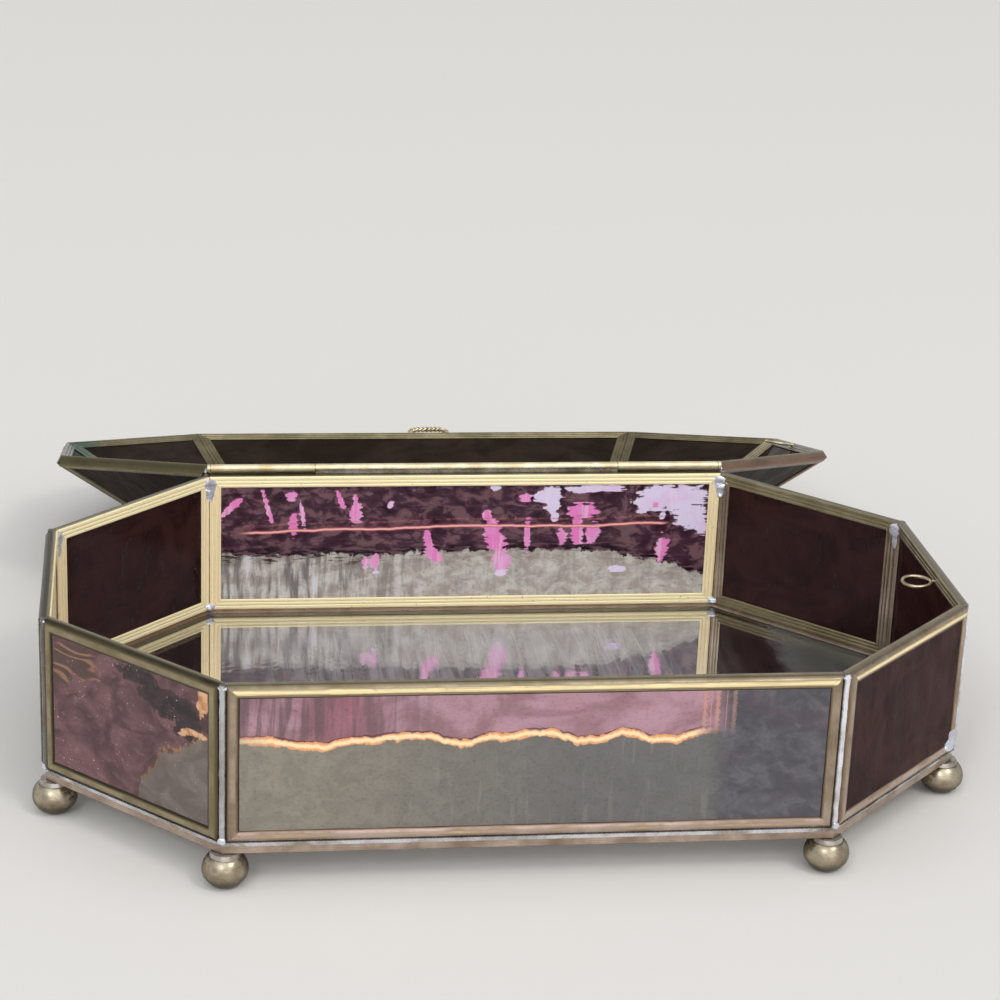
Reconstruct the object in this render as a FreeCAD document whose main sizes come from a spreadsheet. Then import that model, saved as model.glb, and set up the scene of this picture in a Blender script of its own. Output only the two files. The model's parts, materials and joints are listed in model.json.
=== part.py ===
"""Glass casket box: framed glass panes on ball feet, with a hinged eight-sided lid.

Every pane of glass sits in its own U-section brass came.  The framed panes meet
along their inner edges, and solder fills the V between them on the outside.
Lengths are in millimetres and angles in degrees.  The lid is drawn shut about
the tray, then swung over on its hinge until its flat top meets the table.
"""

import FreeCAD, Part
import math
import os

import Sketcher

SIZES = [
    # tray, seen from above: an oblong cut at its corners by 45 degrees
    ("front_length", 160.0),
    ("side_length", 66.0),
    ("corner_cut", 46.0),
    ("wall_height", 43.2),
    # brass came and glass
    ("came_thickness", 3.5),
    ("came_width", 3.4),
    ("came_rounding", 0.8),
    ("lip_rounding", 0.4),
    ("glass_thickness", 2.4),
    ("glass_bite", 2.4),
    ("glass_play", 0.05),
    ("floor_setback", 1.2),
    # solder
    ("seam_shortfall", 0.4),
    ("floor_bead_width", 0.8),
    ("floor_bead_height", 1.3),
    ("floor_bead_tip", 0.16),
    # ball feet
    ("foot_radius", 6.05),
    ("foot_height", 9.6),
    ("foot_belly_height", 4.7),
    ("foot_neck_radius", 4.3),
    ("foot_sole_radius", 2.2),
    ("foot_seam_height", 2.9),
    ("foot_seam_ledge", 0.2),
    ("foot_setback", 3.4),
    ("foot_solder_radius", 4.1),
    ("foot_solder_top_radius", 3.75),
    ("foot_solder_height", 1.1),
    # lid
    ("lid_slope", 34.0),
    ("lid_pane_rise", 45.0),
    ("lid_gap", 0.3),
    # hinge
    ("hinge_back", 0.6),
    ("hinge_rise", 1.45),
    ("tube_radius", 1.2),
    ("pin_radius", 0.75),
    ("pin_play", 0.05),
    ("centre_knuckle", 93.0),
    ("hinge_end_margin", 0.8),
    ("knuckle_gap", 0.3),
    ("pin_head_radius", 1.2),
    ("pin_head_length", 0.8),
    ("hinge_solder_width", 1.5),
    # lift loop on the lid's front edge
    ("loop_width", 13.4),
    ("loop_reach", 6.4),
    ("loop_bend", 3.4),
    ("loop_wire_radius", 1.0),
    ("loop_offset", 5.2),
    ("loop_droop", 18.0),
    ("loop_root", 0.4),
    # wire eyes for the lid stay
    ("eye_radius", 4.0),
    ("eye_wire_radius", 0.45),
    ("eye_stem", 1.3),
    ("eye_stem_radius", 0.38),
    ("eye_root", 0.25),
    ("tray_eye_forward", 9.0),
    ("tray_eye_drop", 2.4),
    ("lid_eye_forward", 5.0),
    ("lid_eye_rise", 0.6),
    ("lid_eye_droop", 8.0),
]

# name, which edge length it has, yaw of its outward normal from straight ahead
WALLS = [
    ("front", "front", 0),
    ("front_right", "corner", 45),
    ("right", "side", 90),
    ("back_right", "corner", 135),
    ("back", "front", 180),
    ("back_left", "corner", 225),
    ("left", "side", 270),
    ("front_left", "corner", 315),
]
CORNERS = ["front_right", "right_front", "right_back", "back_right",
           "back_left", "left_back", "left_front", "front_left"]
# the corners turn by 45 degrees, so a seam stands half of that from each wall
HALF_TURN = 22.5
NEAR = 1e-3
NO_MOVE = "create(<<vector>>; 0; 0; 0)"

doc = FreeCAD.newDocument("glass_casket_box")
nodes = []


# ---------------------------------------------------------------- sizes

def make_sizes():
    """The driving dimensions, one plain number to a cell."""
    sheet = doc.addObject("Spreadsheet::Sheet", "Sizes")
    for row, (name, value) in enumerate(SIZES, start=1):
        sheet.set(f"A{row}", name)
        sheet.set(f"B{row}", str(value))
        sheet.setAlias(f"B{row}", name)
    doc.recompute()
    return sheet


def sized(text):
    """An expression written with bare size names, made to point at the sheet."""
    words = []
    for word in text.split(" "):
        bare = word.strip("(),;")
        if bare in SIZE_NAMES:
            word = word.replace(bare, "Sizes." + bare)
        elif bare in derived_names:
            word = word.replace(bare, "Layout." + bare)
        words.append(word)
    return " ".join(words)


def derive(name, text, kind="App::PropertyFloat"):
    """A length, angle or placement worked out from the sizes."""
    layout.addProperty(kind, name, "Layout")
    layout.setExpression(name, sized(text))
    derived_names.add(name)


SIZE_NAMES = {name for name, _ in SIZES}
derived_names = set()
sheet = make_sizes()
layout = doc.addObject("App::VarSet", "Layout")

derive("tray_width", "front_length + 2 * corner_cut")
derive("tray_depth", "side_length + 2 * corner_cut")
derive("corner_length", "corner_cut * sqrt(2)")
derive("mitre", f"tan( {HALF_TURN} )")
derive("floor_level", "foot_height + came_thickness")
derive("foot_top", "foot_height - foot_solder_height")
derive("rim_level", "floor_level + wall_height")
# how far each wall's outer face stands from the middle, and along it
derive("front_out", "tray_depth / 2")
derive("side_out", "tray_width / 2")
derive("corner_out", "( front_length + tray_depth ) / sqrt(8)")
derive("corner_along", "( front_length - side_length ) / sqrt(8)")
# lid, shut
derive("lid_setback", "came_thickness * sin( lid_slope )")
derive("lid_level", "rim_level + lid_gap")
derive("lid_run", "lid_pane_rise * cos( lid_slope )")
derive("lid_climb", "lid_pane_rise * sin( lid_slope )")
derive("lid_top_inset", "lid_setback + lid_run")
derive("lid_top_level", "lid_level + lid_climb")
derive("hip_slope", f"atan( tan( lid_slope ) * cos( {HALF_TURN} ) )")
derive("hip_length", "lid_climb / sin( hip_slope )")
derive("hip_half_angle", f"asin( sin( lid_slope ) * sin( {HALF_TURN} ) )")
# hinge axis, and the swing that lays the lid's top edge on the table
derive("axis_y", "front_out + hinge_back")
derive("axis_z", "rim_level + hinge_rise")
derive("edge_y", "lid_top_inset + came_rounding - front_out - axis_y")
derive("edge_z", "lid_top_level + came_thickness - came_rounding - axis_z")
derive("edge_reach", "sqrt( edge_y * edge_y + edge_z * edge_z )")
derive("edge_angle", "asin( edge_z / edge_reach )")
derive("drop_angle", "asin( ( axis_z - came_rounding ) / edge_reach )")
derive("open_angle", "180 + drop_angle - edge_angle")
# where the end knuckles start and how long they are, so that the pin spans the back edge
derive("end_knuckle_start", "centre_knuckle / 2 + knuckle_gap")
derive("pin_half_length", "front_length / 2 - hinge_end_margin")
derive("pin_neck", "pin_half_length - pin_head_length")
derive("end_knuckle", "pin_neck - knuckle_gap - end_knuckle_start")
# lift loop, and how far it reaches behind the hinge with the lid laid back
derive("loop_seat_y", "lid_setback / 2 - front_out")
derive("loop_seat_z", "lid_level + came_thickness * cos( lid_slope ) / 2")
derive("loop_tip_y", "loop_seat_y - loop_reach * cos( loop_droop ) - axis_y")
derive("loop_tip_z", "loop_seat_z - loop_reach * sin( loop_droop ) - axis_z")
derive("loop_far_y",
       "axis_y + loop_tip_y * cos( open_angle ) + loop_tip_z * sin( open_angle )"
       " + loop_wire_radius")
derive("foot_near_y", "foot_setback - front_out - foot_radius")
derive("tray_shift", "-1 * ( foot_near_y + loop_far_y ) / 2")
derive("tray_frame",
       "create(<<placement>>; create(<<vector>>; 0; tray_shift ; 0);"
       " create(<<rotation>>; 0; 0; 0))", "App::PropertyPlacement")
derive("lid_frame",
       "tray_frame * create(<<placement>>; create(<<vector>>; 0; 0; 0);"
       " create(<<rotation>>; create(<<vector>>; -1; 0; 0); open_angle );"
       " create(<<vector>>; 0; axis_y ; axis_z ))", "App::PropertyPlacement")
doc.recompute()


# ---------------------------------------------------------------- helpers

def value(text):
    """The number that an expression gives with the sizes as they are."""
    return float(layout.evalExpression(sized(text)))


def place(item, frame, x="0", y="0", z="0", yaw="0", roll="0", pitch=None):
    """Ties a placement to the layout: yaw about Z, after roll about X, after pitch about Y."""
    text = (f"{frame} * create(<<placement>>; create(<<vector>>; {x} ; {y} ; {z} );"
            f" create(<<rotation>>; {yaw} ; 0; {roll} ))")
    if pitch is not None:
        text += (f" * create(<<placement>>; {NO_MOVE};"
                 f" create(<<rotation>>; 0; {pitch} ; 0))")
    item.setExpression("Placement", sized(text))


def bind(item, name, text):
    item.setExpression(name, sized(text))


def new_body(label):
    body = doc.addObject("PartDesign::Body", label)
    body.Label = label
    return body


def new_sketch(body, name, level=None, role="XY_Plane"):
    """A sketch on one of the body's own origin planes, raised by level."""
    sketch = body.newObject("Sketcher::SketchObject", name)
    plane = next(f for f in body.Origin.OriginFeatures if f.Role == role)
    sketch.AttachmentSupport = [(plane, "")]
    sketch.MapMode = "FlatFace"
    if level is not None:
        bind(sketch, "AttachmentOffset.Base.z", level)
    return sketch


def pin_point(sketch, edge, end, point):
    """Holds one end of an edge at a point given by two expressions."""
    for axis, text in zip(("DistanceX", "DistanceY"), point):
        index = sketch.addConstraint(
            Sketcher.Constraint(axis, -1, 1, edge, end, value(text)))
        bind(sketch, f"Constraints[{index}]", text)


def vector(point):
    return FreeCAD.Vector(value(point[0]), value(point[1]), 0)


def hold_radius(sketch, edge, radius):
    index = sketch.addConstraint(Sketcher.Constraint("Radius", edge, value(radius)))
    bind(sketch, f"Constraints[{index}]", radius)


def draw_polygon(sketch, points):
    count = len(points)
    for index in range(count):
        ends = vector(points[index]), vector(points[(index + 1) % count])
        sketch.addGeometry(Part.LineSegment(*ends))
    for index in range(count):
        sketch.addConstraint(Sketcher.Constraint(
            "Coincident", index, 2, (index + 1) % count, 1))
        pin_point(sketch, index, 1, points[index])


def draw_circle(sketch, radius):
    circle = Part.Circle(FreeCAD.Vector(), FreeCAD.Vector(0, 0, 1), value(radius))
    edge = sketch.addGeometry(circle)
    sketch.addConstraint(Sketcher.Constraint("Coincident", edge, 3, -1, 1))
    hold_radius(sketch, edge, radius)


def draw_profile(sketch, steps):
    """A closed outline of lines and anticlockwise arcs.

    Each step is (start point, None) for a line to the next start, or
    (start point, (middle point, radius)) for an arc to it.
    """
    count = len(steps)
    for index, (start, bend) in enumerate(steps):
        finish = steps[(index + 1) % count][0]
        if bend is None:
            sketch.addGeometry(Part.LineSegment(vector(start), vector(finish)))
        else:
            middle = FreeCAD.Vector(*bend[0], 0)
            sketch.addGeometry(Part.Arc(vector(start), middle, vector(finish)))
    for index, (start, bend) in enumerate(steps):
        sketch.addConstraint(Sketcher.Constraint(
            "Coincident", index, 2, (index + 1) % count, 1))
        pin_point(sketch, index, 1, start)
        if bend is not None:
            hold_radius(sketch, index, bend[1])


def turned_body(body, sketch):
    """The sketch turned once round its upright axis."""
    feature = body.newObject("PartDesign::Revolution", sketch.Name + "_turning")
    feature.Profile = sketch
    feature.ReferenceAxis = (sketch, ["V_Axis"])
    return feature


def pad(body, sketch, length):
    feature = body.newObject("PartDesign::Pad", sketch.Name + "_pad")
    feature.Profile = sketch
    bind(feature, "Length", length)
    return feature


def pocket(body, sketch, length=None):
    """Cuts upwards from the sketch: right through, or by length."""
    feature = body.newObject("PartDesign::Pocket", sketch.Name + "_cut")
    feature.Profile = sketch
    feature.Reversed = True
    if length is None:
        feature.Type = "ThroughAll"
    else:
        bind(feature, "Length", length)
    return feature


def fillet(body, base, radius, wanted):
    """Rounds the edges of base whose two ends both satisfy wanted."""
    doc.recompute()
    names = [f"Edge{number}" for number, edge in enumerate(base.Shape.Edges, start=1)
             if all(wanted(vertex.Point) for vertex in edge.Vertexes)]
    feature = body.newObject("PartDesign::Fillet", "rounding")
    feature.Base = (base, names)
    bind(feature, "Radius", radius)
    return feature


def keep(item, label):
    """Marks an object as one of the box's pieces."""
    item.Label = label
    nodes.append(item)
    return item


def trimmed(piece, cutters):
    """The piece with its neighbours cut away from it."""
    for number, cutter in enumerate(cutters):
        cut = doc.addObject("Part::Cut", f"{piece.Name}_trim_{number}")
        cut.Base = piece
        cut.Tool = cutter
        piece = cut
    return piece


def group(pieces, label):
    """Identical pieces that share one node."""
    compound = doc.addObject("Part::Compound", label)
    compound.Links = pieces
    return keep(compound, label)


# ---------------------------------------------------------------- outlines

def pane_outline(base, top, rise, inset):
    """A pane's four corners, its lower edge on the X axis, all edges moved in by inset."""
    lean = f"( {base} - {top} ) / 2 / {rise}"
    side = f"{inset} * sqrt( 1 + ( {lean} ) * ( {lean} ) )"
    low = f"( {base} / 2 - ( {lean} ) * ( {inset} ) - {side} )"
    high = f"( {top} / 2 + ( {lean} ) * ( {inset} ) - {side} )"
    return [(f"-1 * {low}", inset), (low, inset),
            (high, f"{rise} - {inset}"), (f"-1 * {high}", f"{rise} - {inset}")]


def octagon_outline(inset):
    """The tray's eight corners, all edges moved in by inset."""
    front_x = f"( front_length / 2 - ( {inset} ) * mitre )"
    front_y = f"( front_out - ( {inset} ) )"
    side_x = f"( side_out - ( {inset} ) )"
    side_y = f"( side_length / 2 - ( {inset} ) * mitre )"
    quarter = [(front_x, front_y), (side_x, side_y)]
    mirrored = [(f"-1 * {x}", y) for x, y in reversed(quarter)]
    upper = quarter[::-1] + mirrored[::-1]
    lower = [(x, f"-1 * {y}") for x, y in reversed(upper)]
    return upper + lower


# ---------------------------------------------------------------- framed panes

def came(label, outline, rounding_top):
    """A brass frame: a plate, rounded, with a window cut and a slot for the glass."""
    body = new_body(label)
    plate_sketch = new_sketch(body, label + "_plate")
    draw_polygon(plate_sketch, outline("0"))
    plate = pad(body, plate_sketch, "came_thickness")
    outer_face = value("came_thickness")
    rounded = fillet(body, plate, "came_rounding",
                     lambda point: abs(point.z - outer_face) < NEAR)
    if rounding_top is not None:
        fillet(body, rounded, "lip_rounding",
               lambda point: abs(point.z) < NEAR and abs(point.y - rounding_top) < NEAR)
    window = new_sketch(body, label + "_window")
    draw_polygon(window, outline("came_width"))
    pocket(body, window)
    slot = new_sketch(body, label + "_slot",
                      "( came_thickness - glass_thickness ) / 2 - glass_play")
    draw_polygon(slot, outline("( came_width - glass_bite )"))
    pocket(body, slot, "glass_thickness + 2 * glass_play")
    return keep(body, label)


def glass(label, outline):
    """The pane held in the came's slot."""
    body = new_body(label)
    sketch = new_sketch(body, label + "_sheet", "( came_thickness - glass_thickness ) / 2")
    draw_polygon(sketch, outline("( came_width - glass_bite + glass_play )"))
    pad(body, sketch, "glass_thickness")
    return keep(body, label)


def wall_middle(kind, yaw, inset):
    """Where the middle of an edge of the octagon lies, moved in by inset."""
    out = f"( {kind}_out - ( {inset} ) )"
    along = "0"
    if kind == "corner":
        # the cut corner's middle lies beside the line from the centre
        side = 1 if yaw in (45, 225) else -1
        along = f"corner_along * {side}"
    x = f"{out} * sin( {yaw} ) + {along} * cos( {yaw} )"
    y = f"{along} * sin( {yaw} ) - {out} * cos( {yaw} )"
    return x, y


def make_tray_walls():
    frames = {}
    for name, kind, yaw in WALLS:
        length = f"( {kind}_length - 2 * came_thickness * mitre )"

        def outline(inset):
            return pane_outline(length, length, "wall_height", inset)

        x, y = wall_middle(kind, yaw, "came_thickness")
        frame = came(f"{name}_wall_came", outline, value("wall_height"))
        pane = glass(f"{name}_wall_glass", outline)
        for piece in (frame, pane):
            place(piece, "tray_frame", x, y, "floor_level", str(yaw), "90")
        frames[name] = frame
    return frames


def make_lid_panes():
    frames = {}
    for name, kind, yaw in WALLS:
        base = f"( {kind}_length - 2 * lid_setback * mitre )"
        top = f"( {kind}_length - 2 * lid_top_inset * mitre )"

        def outline(inset):
            return pane_outline(base, top, "lid_pane_rise", inset)

        x, y = wall_middle(kind, yaw, "lid_setback")
        frame = came(f"{name}_lid_came", outline, None)
        pane = glass(f"{name}_lid_glass", outline)
        for piece in (frame, pane):
            place(piece, "lid_frame", x, y, "lid_level", str(yaw), "lid_slope")
        frames[name] = frame
    return frames


def make_floor():
    def outline(inset):
        return octagon_outline(f"floor_setback + {inset}")

    for piece in (came("floor_came", outline, None), glass("floor_mirror", outline)):
        place(piece, "tray_frame", "0", "0", "foot_height")


def make_lid_top():
    def outline(inset):
        return octagon_outline(f"lid_top_inset + {inset}")

    for piece in (came("top_lid_came", outline, None), glass("top_lid_glass", outline)):
        place(piece, "lid_frame", "0", "0", "lid_top_level")


# ---------------------------------------------------------------- solder

def solder_wedge(label, half_angle, length):
    """Solder that fills the V between two frames: a slice of a round bar."""
    body = new_body(label)
    sketch = new_sketch(body, label + "_slice")
    radius = "( came_thickness - seam_shortfall )"
    left = (f"-1 * {radius} * sin( {half_angle} )", f"-1 * {radius} * cos( {half_angle} )")
    right = (f"{radius} * sin( {half_angle} )", left[1])
    draw_profile(sketch, [
        (("0", "0"), None),
        (left, ((0, -value(radius)), radius)),
        (right, None),
    ])
    pad(body, sketch, length)
    return body


def corner_point(index, inset):
    """The octagon's corner number index, moved in by inset, and its yaw."""
    yaw = HALF_TURN + 45 * index
    along_front = CORNERS[index].startswith(("front", "back"))
    x = f"( front_length / 2 - ( {inset} ) * mitre )" if along_front else \
        f"( side_out - ( {inset} ) )"
    y = f"( front_out - ( {inset} ) )" if along_front else \
        f"( side_length / 2 - ( {inset} ) * mitre )"
    x_sign = 1 if index < 4 else -1
    y_sign = 1 if 2 <= index < 6 else -1
    return f"{x_sign} * {x}", f"{y_sign} * {y}", str(yaw)


def make_wall_solder():
    pieces = []
    for index, name in enumerate(CORNERS):
        piece = solder_wedge(f"{name}_wall_seam", str(HALF_TURN), "wall_height")
        x, y, yaw = corner_point(index, "came_thickness")
        place(piece, "tray_frame", x, y, "floor_level", yaw)
        pieces.append(piece)
    group(pieces, "wall_corner_solder")


def make_hip_solder():
    pieces = []
    for index, name in enumerate(CORNERS):
        piece = solder_wedge(f"{name}_hip_seam", "hip_half_angle", "hip_length")
        x, y, yaw = corner_point(index, "lid_setback")
        place(piece, "lid_frame", x, y, "lid_level", yaw, "( hip_slope - 90 )")
        pieces.append(piece)
    group(pieces, "lid_hip_solder")


def make_top_solder():
    """Solder between the sloping panes and the flat top."""
    pieces = []
    for name, kind, yaw in WALLS:
        length = f"( {kind}_length - 2 * lid_top_inset * mitre )"
        piece = solder_wedge(f"{name}_top_seam", "lid_slope / 2", length)
        x, y = wall_middle(kind, yaw, "lid_top_inset")
        x = f"{x} - {length} / 2 * cos( {yaw} )"
        y = f"{y} - {length} / 2 * sin( {yaw} )"
        place(piece, "lid_frame", x, y, "lid_top_level", str(yaw),
              "( lid_slope / 2 - 90 )", "90")
        pieces.append(piece)
    group(pieces, "lid_top_solder")


def make_floor_solder():
    """A bead under the walls, outside the floor's frame."""
    body = new_body("floor_seam_solder")
    outside = new_sketch(body, "floor_bead_outside")
    draw_polygon(outside, octagon_outline("( floor_setback - floor_bead_width )"))
    bead = pad(body, outside, "floor_bead_height")
    bead.Reversed = True
    bind(bead, "TaperAngle",
         "-1 * atan( ( floor_bead_width - floor_bead_tip ) / floor_bead_height )")
    inside = new_sketch(body, "floor_bead_inside")
    draw_polygon(inside, octagon_outline("floor_setback"))
    hole = pocket(body, inside, "floor_bead_height")
    hole.Reversed = False
    place(keep(body, "floor_seam_solder"), "tray_frame", "0", "0", "floor_level")


# ---------------------------------------------------------------- feet

def belly_arc(end_radius, height):
    """Centre offset and radius of the foot's side arc, from its belly to an end ring."""
    rise = f"( {height} - foot_belly_height )"
    offset = (f"( ( {rise} * {rise} + {end_radius} * {end_radius}"
              f" - foot_radius * foot_radius ) / 2 / ( {end_radius} - foot_radius ) )")
    return offset, f"( foot_radius - {offset} )"


def arc_middle(offset, radius, low, high):
    """A point of the side arc, half way between two heights."""
    height = (value(low) + value(high)) / 2
    rise = height - value("foot_belly_height")
    return value(offset) + math.sqrt(value(radius) ** 2 - rise ** 2), height


def make_feet():
    upper_offset, upper_radius = belly_arc("foot_neck_radius", "foot_top")
    lower_offset, lower_radius = belly_arc("foot_sole_radius", "0")
    drop = "( foot_belly_height - foot_seam_height )"
    seam_radius = f"( {lower_offset} + sqrt( {lower_radius} * {lower_radius} - {drop} * {drop} ) )"
    cup_radius = f"( {seam_radius} - foot_seam_ledge )"
    cup_middle = arc_middle(lower_offset, lower_radius, "0", "foot_seam_height")
    pads = []
    for index, name in enumerate(CORNERS):
        body = new_body(f"{name}_foot")
        sketch = new_sketch(body, f"{name}_foot_profile", role="XZ_Plane")
        draw_profile(sketch, [
            (("0", "0"), None),
            (("foot_sole_radius", "0"),
             ((cup_middle[0] - value("foot_seam_ledge") / 2, cup_middle[1]), lower_radius)),
            ((cup_radius, "foot_seam_height"), None),
            ((seam_radius, "foot_seam_height"),
             (arc_middle(lower_offset, lower_radius, "foot_seam_height",
                         "foot_belly_height"), lower_radius)),
            (("foot_radius", "foot_belly_height"),
             (arc_middle(upper_offset, upper_radius, "foot_belly_height",
                         "foot_top"), upper_radius)),
            (("foot_neck_radius", "foot_top"), None),
            (("0", "foot_top"), None),
        ])
        turned_body(body, sketch)
        x, y, _ = corner_point(index, "foot_setback")
        place(keep(body, f"{name}_foot"), "tray_frame", x, y)
        cone = doc.addObject("Part::Cone", f"{name}_foot_pad")
        bind(cone, "Radius1", "foot_solder_radius")
        bind(cone, "Radius2", "foot_solder_top_radius")
        bind(cone, "Height", "foot_solder_height")
        place(cone, "tray_frame", x, y, "foot_top")
        pads.append(cone)
    group(pads, "foot_solder")


# ---------------------------------------------------------------- hinge

def tube(label, length):
    body = new_body(label)
    sketch = new_sketch(body, label + "_ring")
    draw_circle(sketch, "tube_radius")
    draw_circle(sketch, "pin_radius + pin_play")
    pad(body, sketch, length)
    return keep(body, label)


def hinge_bar(label, width, depth, length):
    """A block of solder along a knuckle."""
    bar = doc.addObject("Part::Box", label)
    bind(bar, "Length", length)
    bind(bar, "Width", width)
    bind(bar, "Height", depth)
    return bar


def make_hinge(tray_frame_back, lid_frame_back):
    centre = tube("centre_hinge_knuckle", "centre_knuckle")
    place(centre, "tray_frame", "-1 * centre_knuckle / 2", "axis_y", "axis_z",
          pitch="90")
    ends = {"right": "end_knuckle_start", "left": "-1 * end_knuckle_start - end_knuckle"}
    for side, x in ends.items():
        place(tube(f"{side}_hinge_knuckle", "end_knuckle"), "lid_frame",
              x, "axis_y", "axis_z", pitch="90")

    pin = new_body("hinge_pin")
    sketch = new_sketch(pin, "hinge_pin_profile")
    draw_polygon(sketch, [
        ("0", "-1 * pin_half_length"), ("pin_head_radius", "-1 * pin_half_length"),
        ("pin_head_radius", "-1 * pin_neck"), ("pin_radius", "-1 * pin_neck"),
        ("pin_radius", "pin_neck"), ("pin_head_radius", "pin_neck"),
        ("pin_head_radius", "pin_half_length"), ("0", "pin_half_length")])
    turned_body(pin, sketch)
    place(keep(pin, "hinge_pin"), "tray_frame", "0", "axis_y", "axis_z", yaw="90")

    # solder between the centre knuckle and the tray's back wall, below the axis
    low = hinge_bar("tray_hinge_bead", "hinge_solder_width", "hinge_rise + came_rounding",
                    "centre_knuckle")
    place(low, "tray_frame", "-1 * centre_knuckle / 2",
          "axis_y - hinge_solder_width", "rim_level - came_rounding")
    space = doc.addObject("Part::Cylinder", "tray_hinge_space")
    bind(space, "Radius", "tube_radius")
    bind(space, "Height", "centre_knuckle")
    place(space, "tray_frame", "-1 * centre_knuckle / 2", "axis_y", "axis_z", pitch="90")
    keep(trimmed(low, [space, tray_frame_back]), "tray_hinge_solder")

    # solder between the end knuckles and the edge of the lid's back frame
    beads = []
    for side, x in ends.items():
        bead = hinge_bar(f"{side}_lid_hinge_bead", "hinge_solder_width",
                         "tube_radius + came_rounding", "end_knuckle")
        place(bead, "lid_frame", x,
              "axis_y - hinge_solder_width / 2 * sin( lid_slope )",
              "axis_z - hinge_solder_width / 2 * cos( lid_slope )",
              "0", "( 90 - lid_slope )")
        space = doc.addObject("Part::Cylinder", f"{side}_lid_hinge_space")
        bind(space, "Radius", "tube_radius")
        bind(space, "Height", "end_knuckle")
        place(space, "lid_frame", x, "axis_y", "axis_z", pitch="90")
        beads.append(trimmed(bead, [space, lid_frame_back]))
    group(beads, "lid_hinge_solder")


# ---------------------------------------------------------------- wire pieces

def make_lift_loop(front_frame):
    """A bow of stout wire on the lid's front edge."""
    body = new_body("lift_loop_wire")
    path = new_sketch(body, "lift_loop_path")
    half = "( loop_width / 2 )"
    flat = f"( {half} - loop_bend )"
    shoulder = "( loop_bend - loop_reach )"
    inner = "loop_root"
    points = [(f"-1 * {half}", inner), (f"-1 * {half}", shoulder),
              (f"-1 * {flat}", "-1 * loop_reach"), (flat, "-1 * loop_reach"),
              (half, shoulder), (half, inner)]
    bend = value("loop_bend")
    slant = bend * (1 - math.sqrt(0.5))
    left_middle = FreeCAD.Vector(-value(half) + slant, -value("loop_reach") + slant, 0)
    right_middle = FreeCAD.Vector(value(half) - slant, -value("loop_reach") + slant, 0)
    spots = [vector(point) for point in points]
    path.addGeometry(Part.LineSegment(spots[0], spots[1]))
    path.addGeometry(Part.Arc(spots[1], left_middle, spots[2]))
    path.addGeometry(Part.LineSegment(spots[2], spots[3]))
    path.addGeometry(Part.Arc(spots[3], right_middle, spots[4]))
    path.addGeometry(Part.LineSegment(spots[4], spots[5]))
    for first, second in ((0, 1), (1, 2), (2, 3), (3, 4)):
        path.addConstraint(Sketcher.Constraint("Coincident", first, 2, second, 1))
    for edge, end, point in ((0, 1, 0), (0, 2, 1), (2, 1, 2), (2, 2, 3), (4, 1, 4), (4, 2, 5)):
        pin_point(path, edge, end, points[point])
    for edge in (1, 3):
        hold_radius(path, edge, "loop_bend")
    profile = new_sketch(body, "lift_loop_section", f"-1 * {inner}", "XZ_Plane")
    circle = Part.Circle(FreeCAD.Vector(-value(half), 0, 0), FreeCAD.Vector(0, 0, 1),
                         value("loop_wire_radius"))
    edge = profile.addGeometry(circle)
    pin_point(profile, edge, 3, (f"-1 * {half}", "0"))
    hold_radius(profile, edge, "loop_wire_radius")
    pipe = body.newObject("PartDesign::AdditivePipe", "lift_loop_sweep")
    pipe.Profile = profile
    pipe.Spine = path
    place(body, "lid_frame", "loop_offset", "loop_seat_y", "loop_seat_z",
          "0", "loop_droop")
    keep(trimmed(body, [front_frame]), "lift_loop")


def make_eye(label, frame, x, y, z, droop, wall):
    """A wire ring on a short stem, soldered to the inside of a came."""
    ring = doc.addObject("Part::Torus", label + "_ring")
    bind(ring, "Radius1", "eye_radius")
    bind(ring, "Radius2", "eye_wire_radius")
    stem = doc.addObject("Part::Cylinder", label + "_stem")
    bind(stem, "Radius", "eye_stem_radius")
    bind(stem, "Height", "eye_stem + eye_root")
    stem.setExpression("Placement", sized(
        "create(<<placement>>; create(<<vector>>; eye_radius ; 0; 0);"
        " create(<<rotation>>; 0; 90; 0))"))
    eye = doc.addObject("Part::MultiFuse", label + "_wire")
    eye.Shapes = [ring, stem]
    place(eye, frame, x, y, z, "0", "0", droop)
    keep(trimmed(eye, [wall]), label)


def make_eyes(tray_wall, lid_wall):
    reach = "( eye_radius + eye_stem )"
    make_eye("tray_stay_eye", "tray_frame",
             f"side_out - came_thickness - {reach}", "-1 * tray_eye_forward",
             "rim_level - tray_eye_drop", "0", tray_wall)
    make_eye("lid_stay_eye", "lid_frame",
             f"side_out - lid_setback - lid_eye_rise / tan( lid_slope )"
             f" - {reach} * cos( lid_eye_droop )",
             "-1 * lid_eye_forward",
             f"lid_level + lid_eye_rise - {reach} * sin( lid_eye_droop )",
             "-1 * lid_eye_droop", lid_wall)


# ---------------------------------------------------------------- build

def check_document():
    """Stops before anything is written if a feature failed or a shape is bad."""
    doc.recompute()
    for item in doc.Objects:
        for state in item.State:
            if state in ("Invalid", "Error"):
                raise RuntimeError(f"{item.Name} is {state}")
    for node in nodes:
        shape = node.Shape
        if shape.isNull() or not shape.isValid() or not shape.Solids:
            raise RuntimeError(f"{node.Label} has no valid solid")


def export_parts():
    os.makedirs("parts", exist_ok=True)
    for node in nodes:
        node.Shape.exportStep(f"parts/{node.Label}.step")


tray_cames = make_tray_walls()
make_floor()
make_wall_solder()
make_floor_solder()
make_feet()
lid_cames = make_lid_panes()
make_lid_top()
make_hip_solder()
make_top_solder()
make_hinge(tray_cames["back"], lid_cames["back"])
make_lift_loop(lid_cames["front"])
make_eyes(tray_cames["right"], lid_cames["right"])
check_document()
export_parts()
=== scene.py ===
"""Looks of the glass casket box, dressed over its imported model.

Pieces are drawn in millimetres in the frames that the parts are built in, and their
matrices bring them to metres in the row frame.
"""
import json
import math

import bpy
from mathutils import Matrix, Vector, noise


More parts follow.
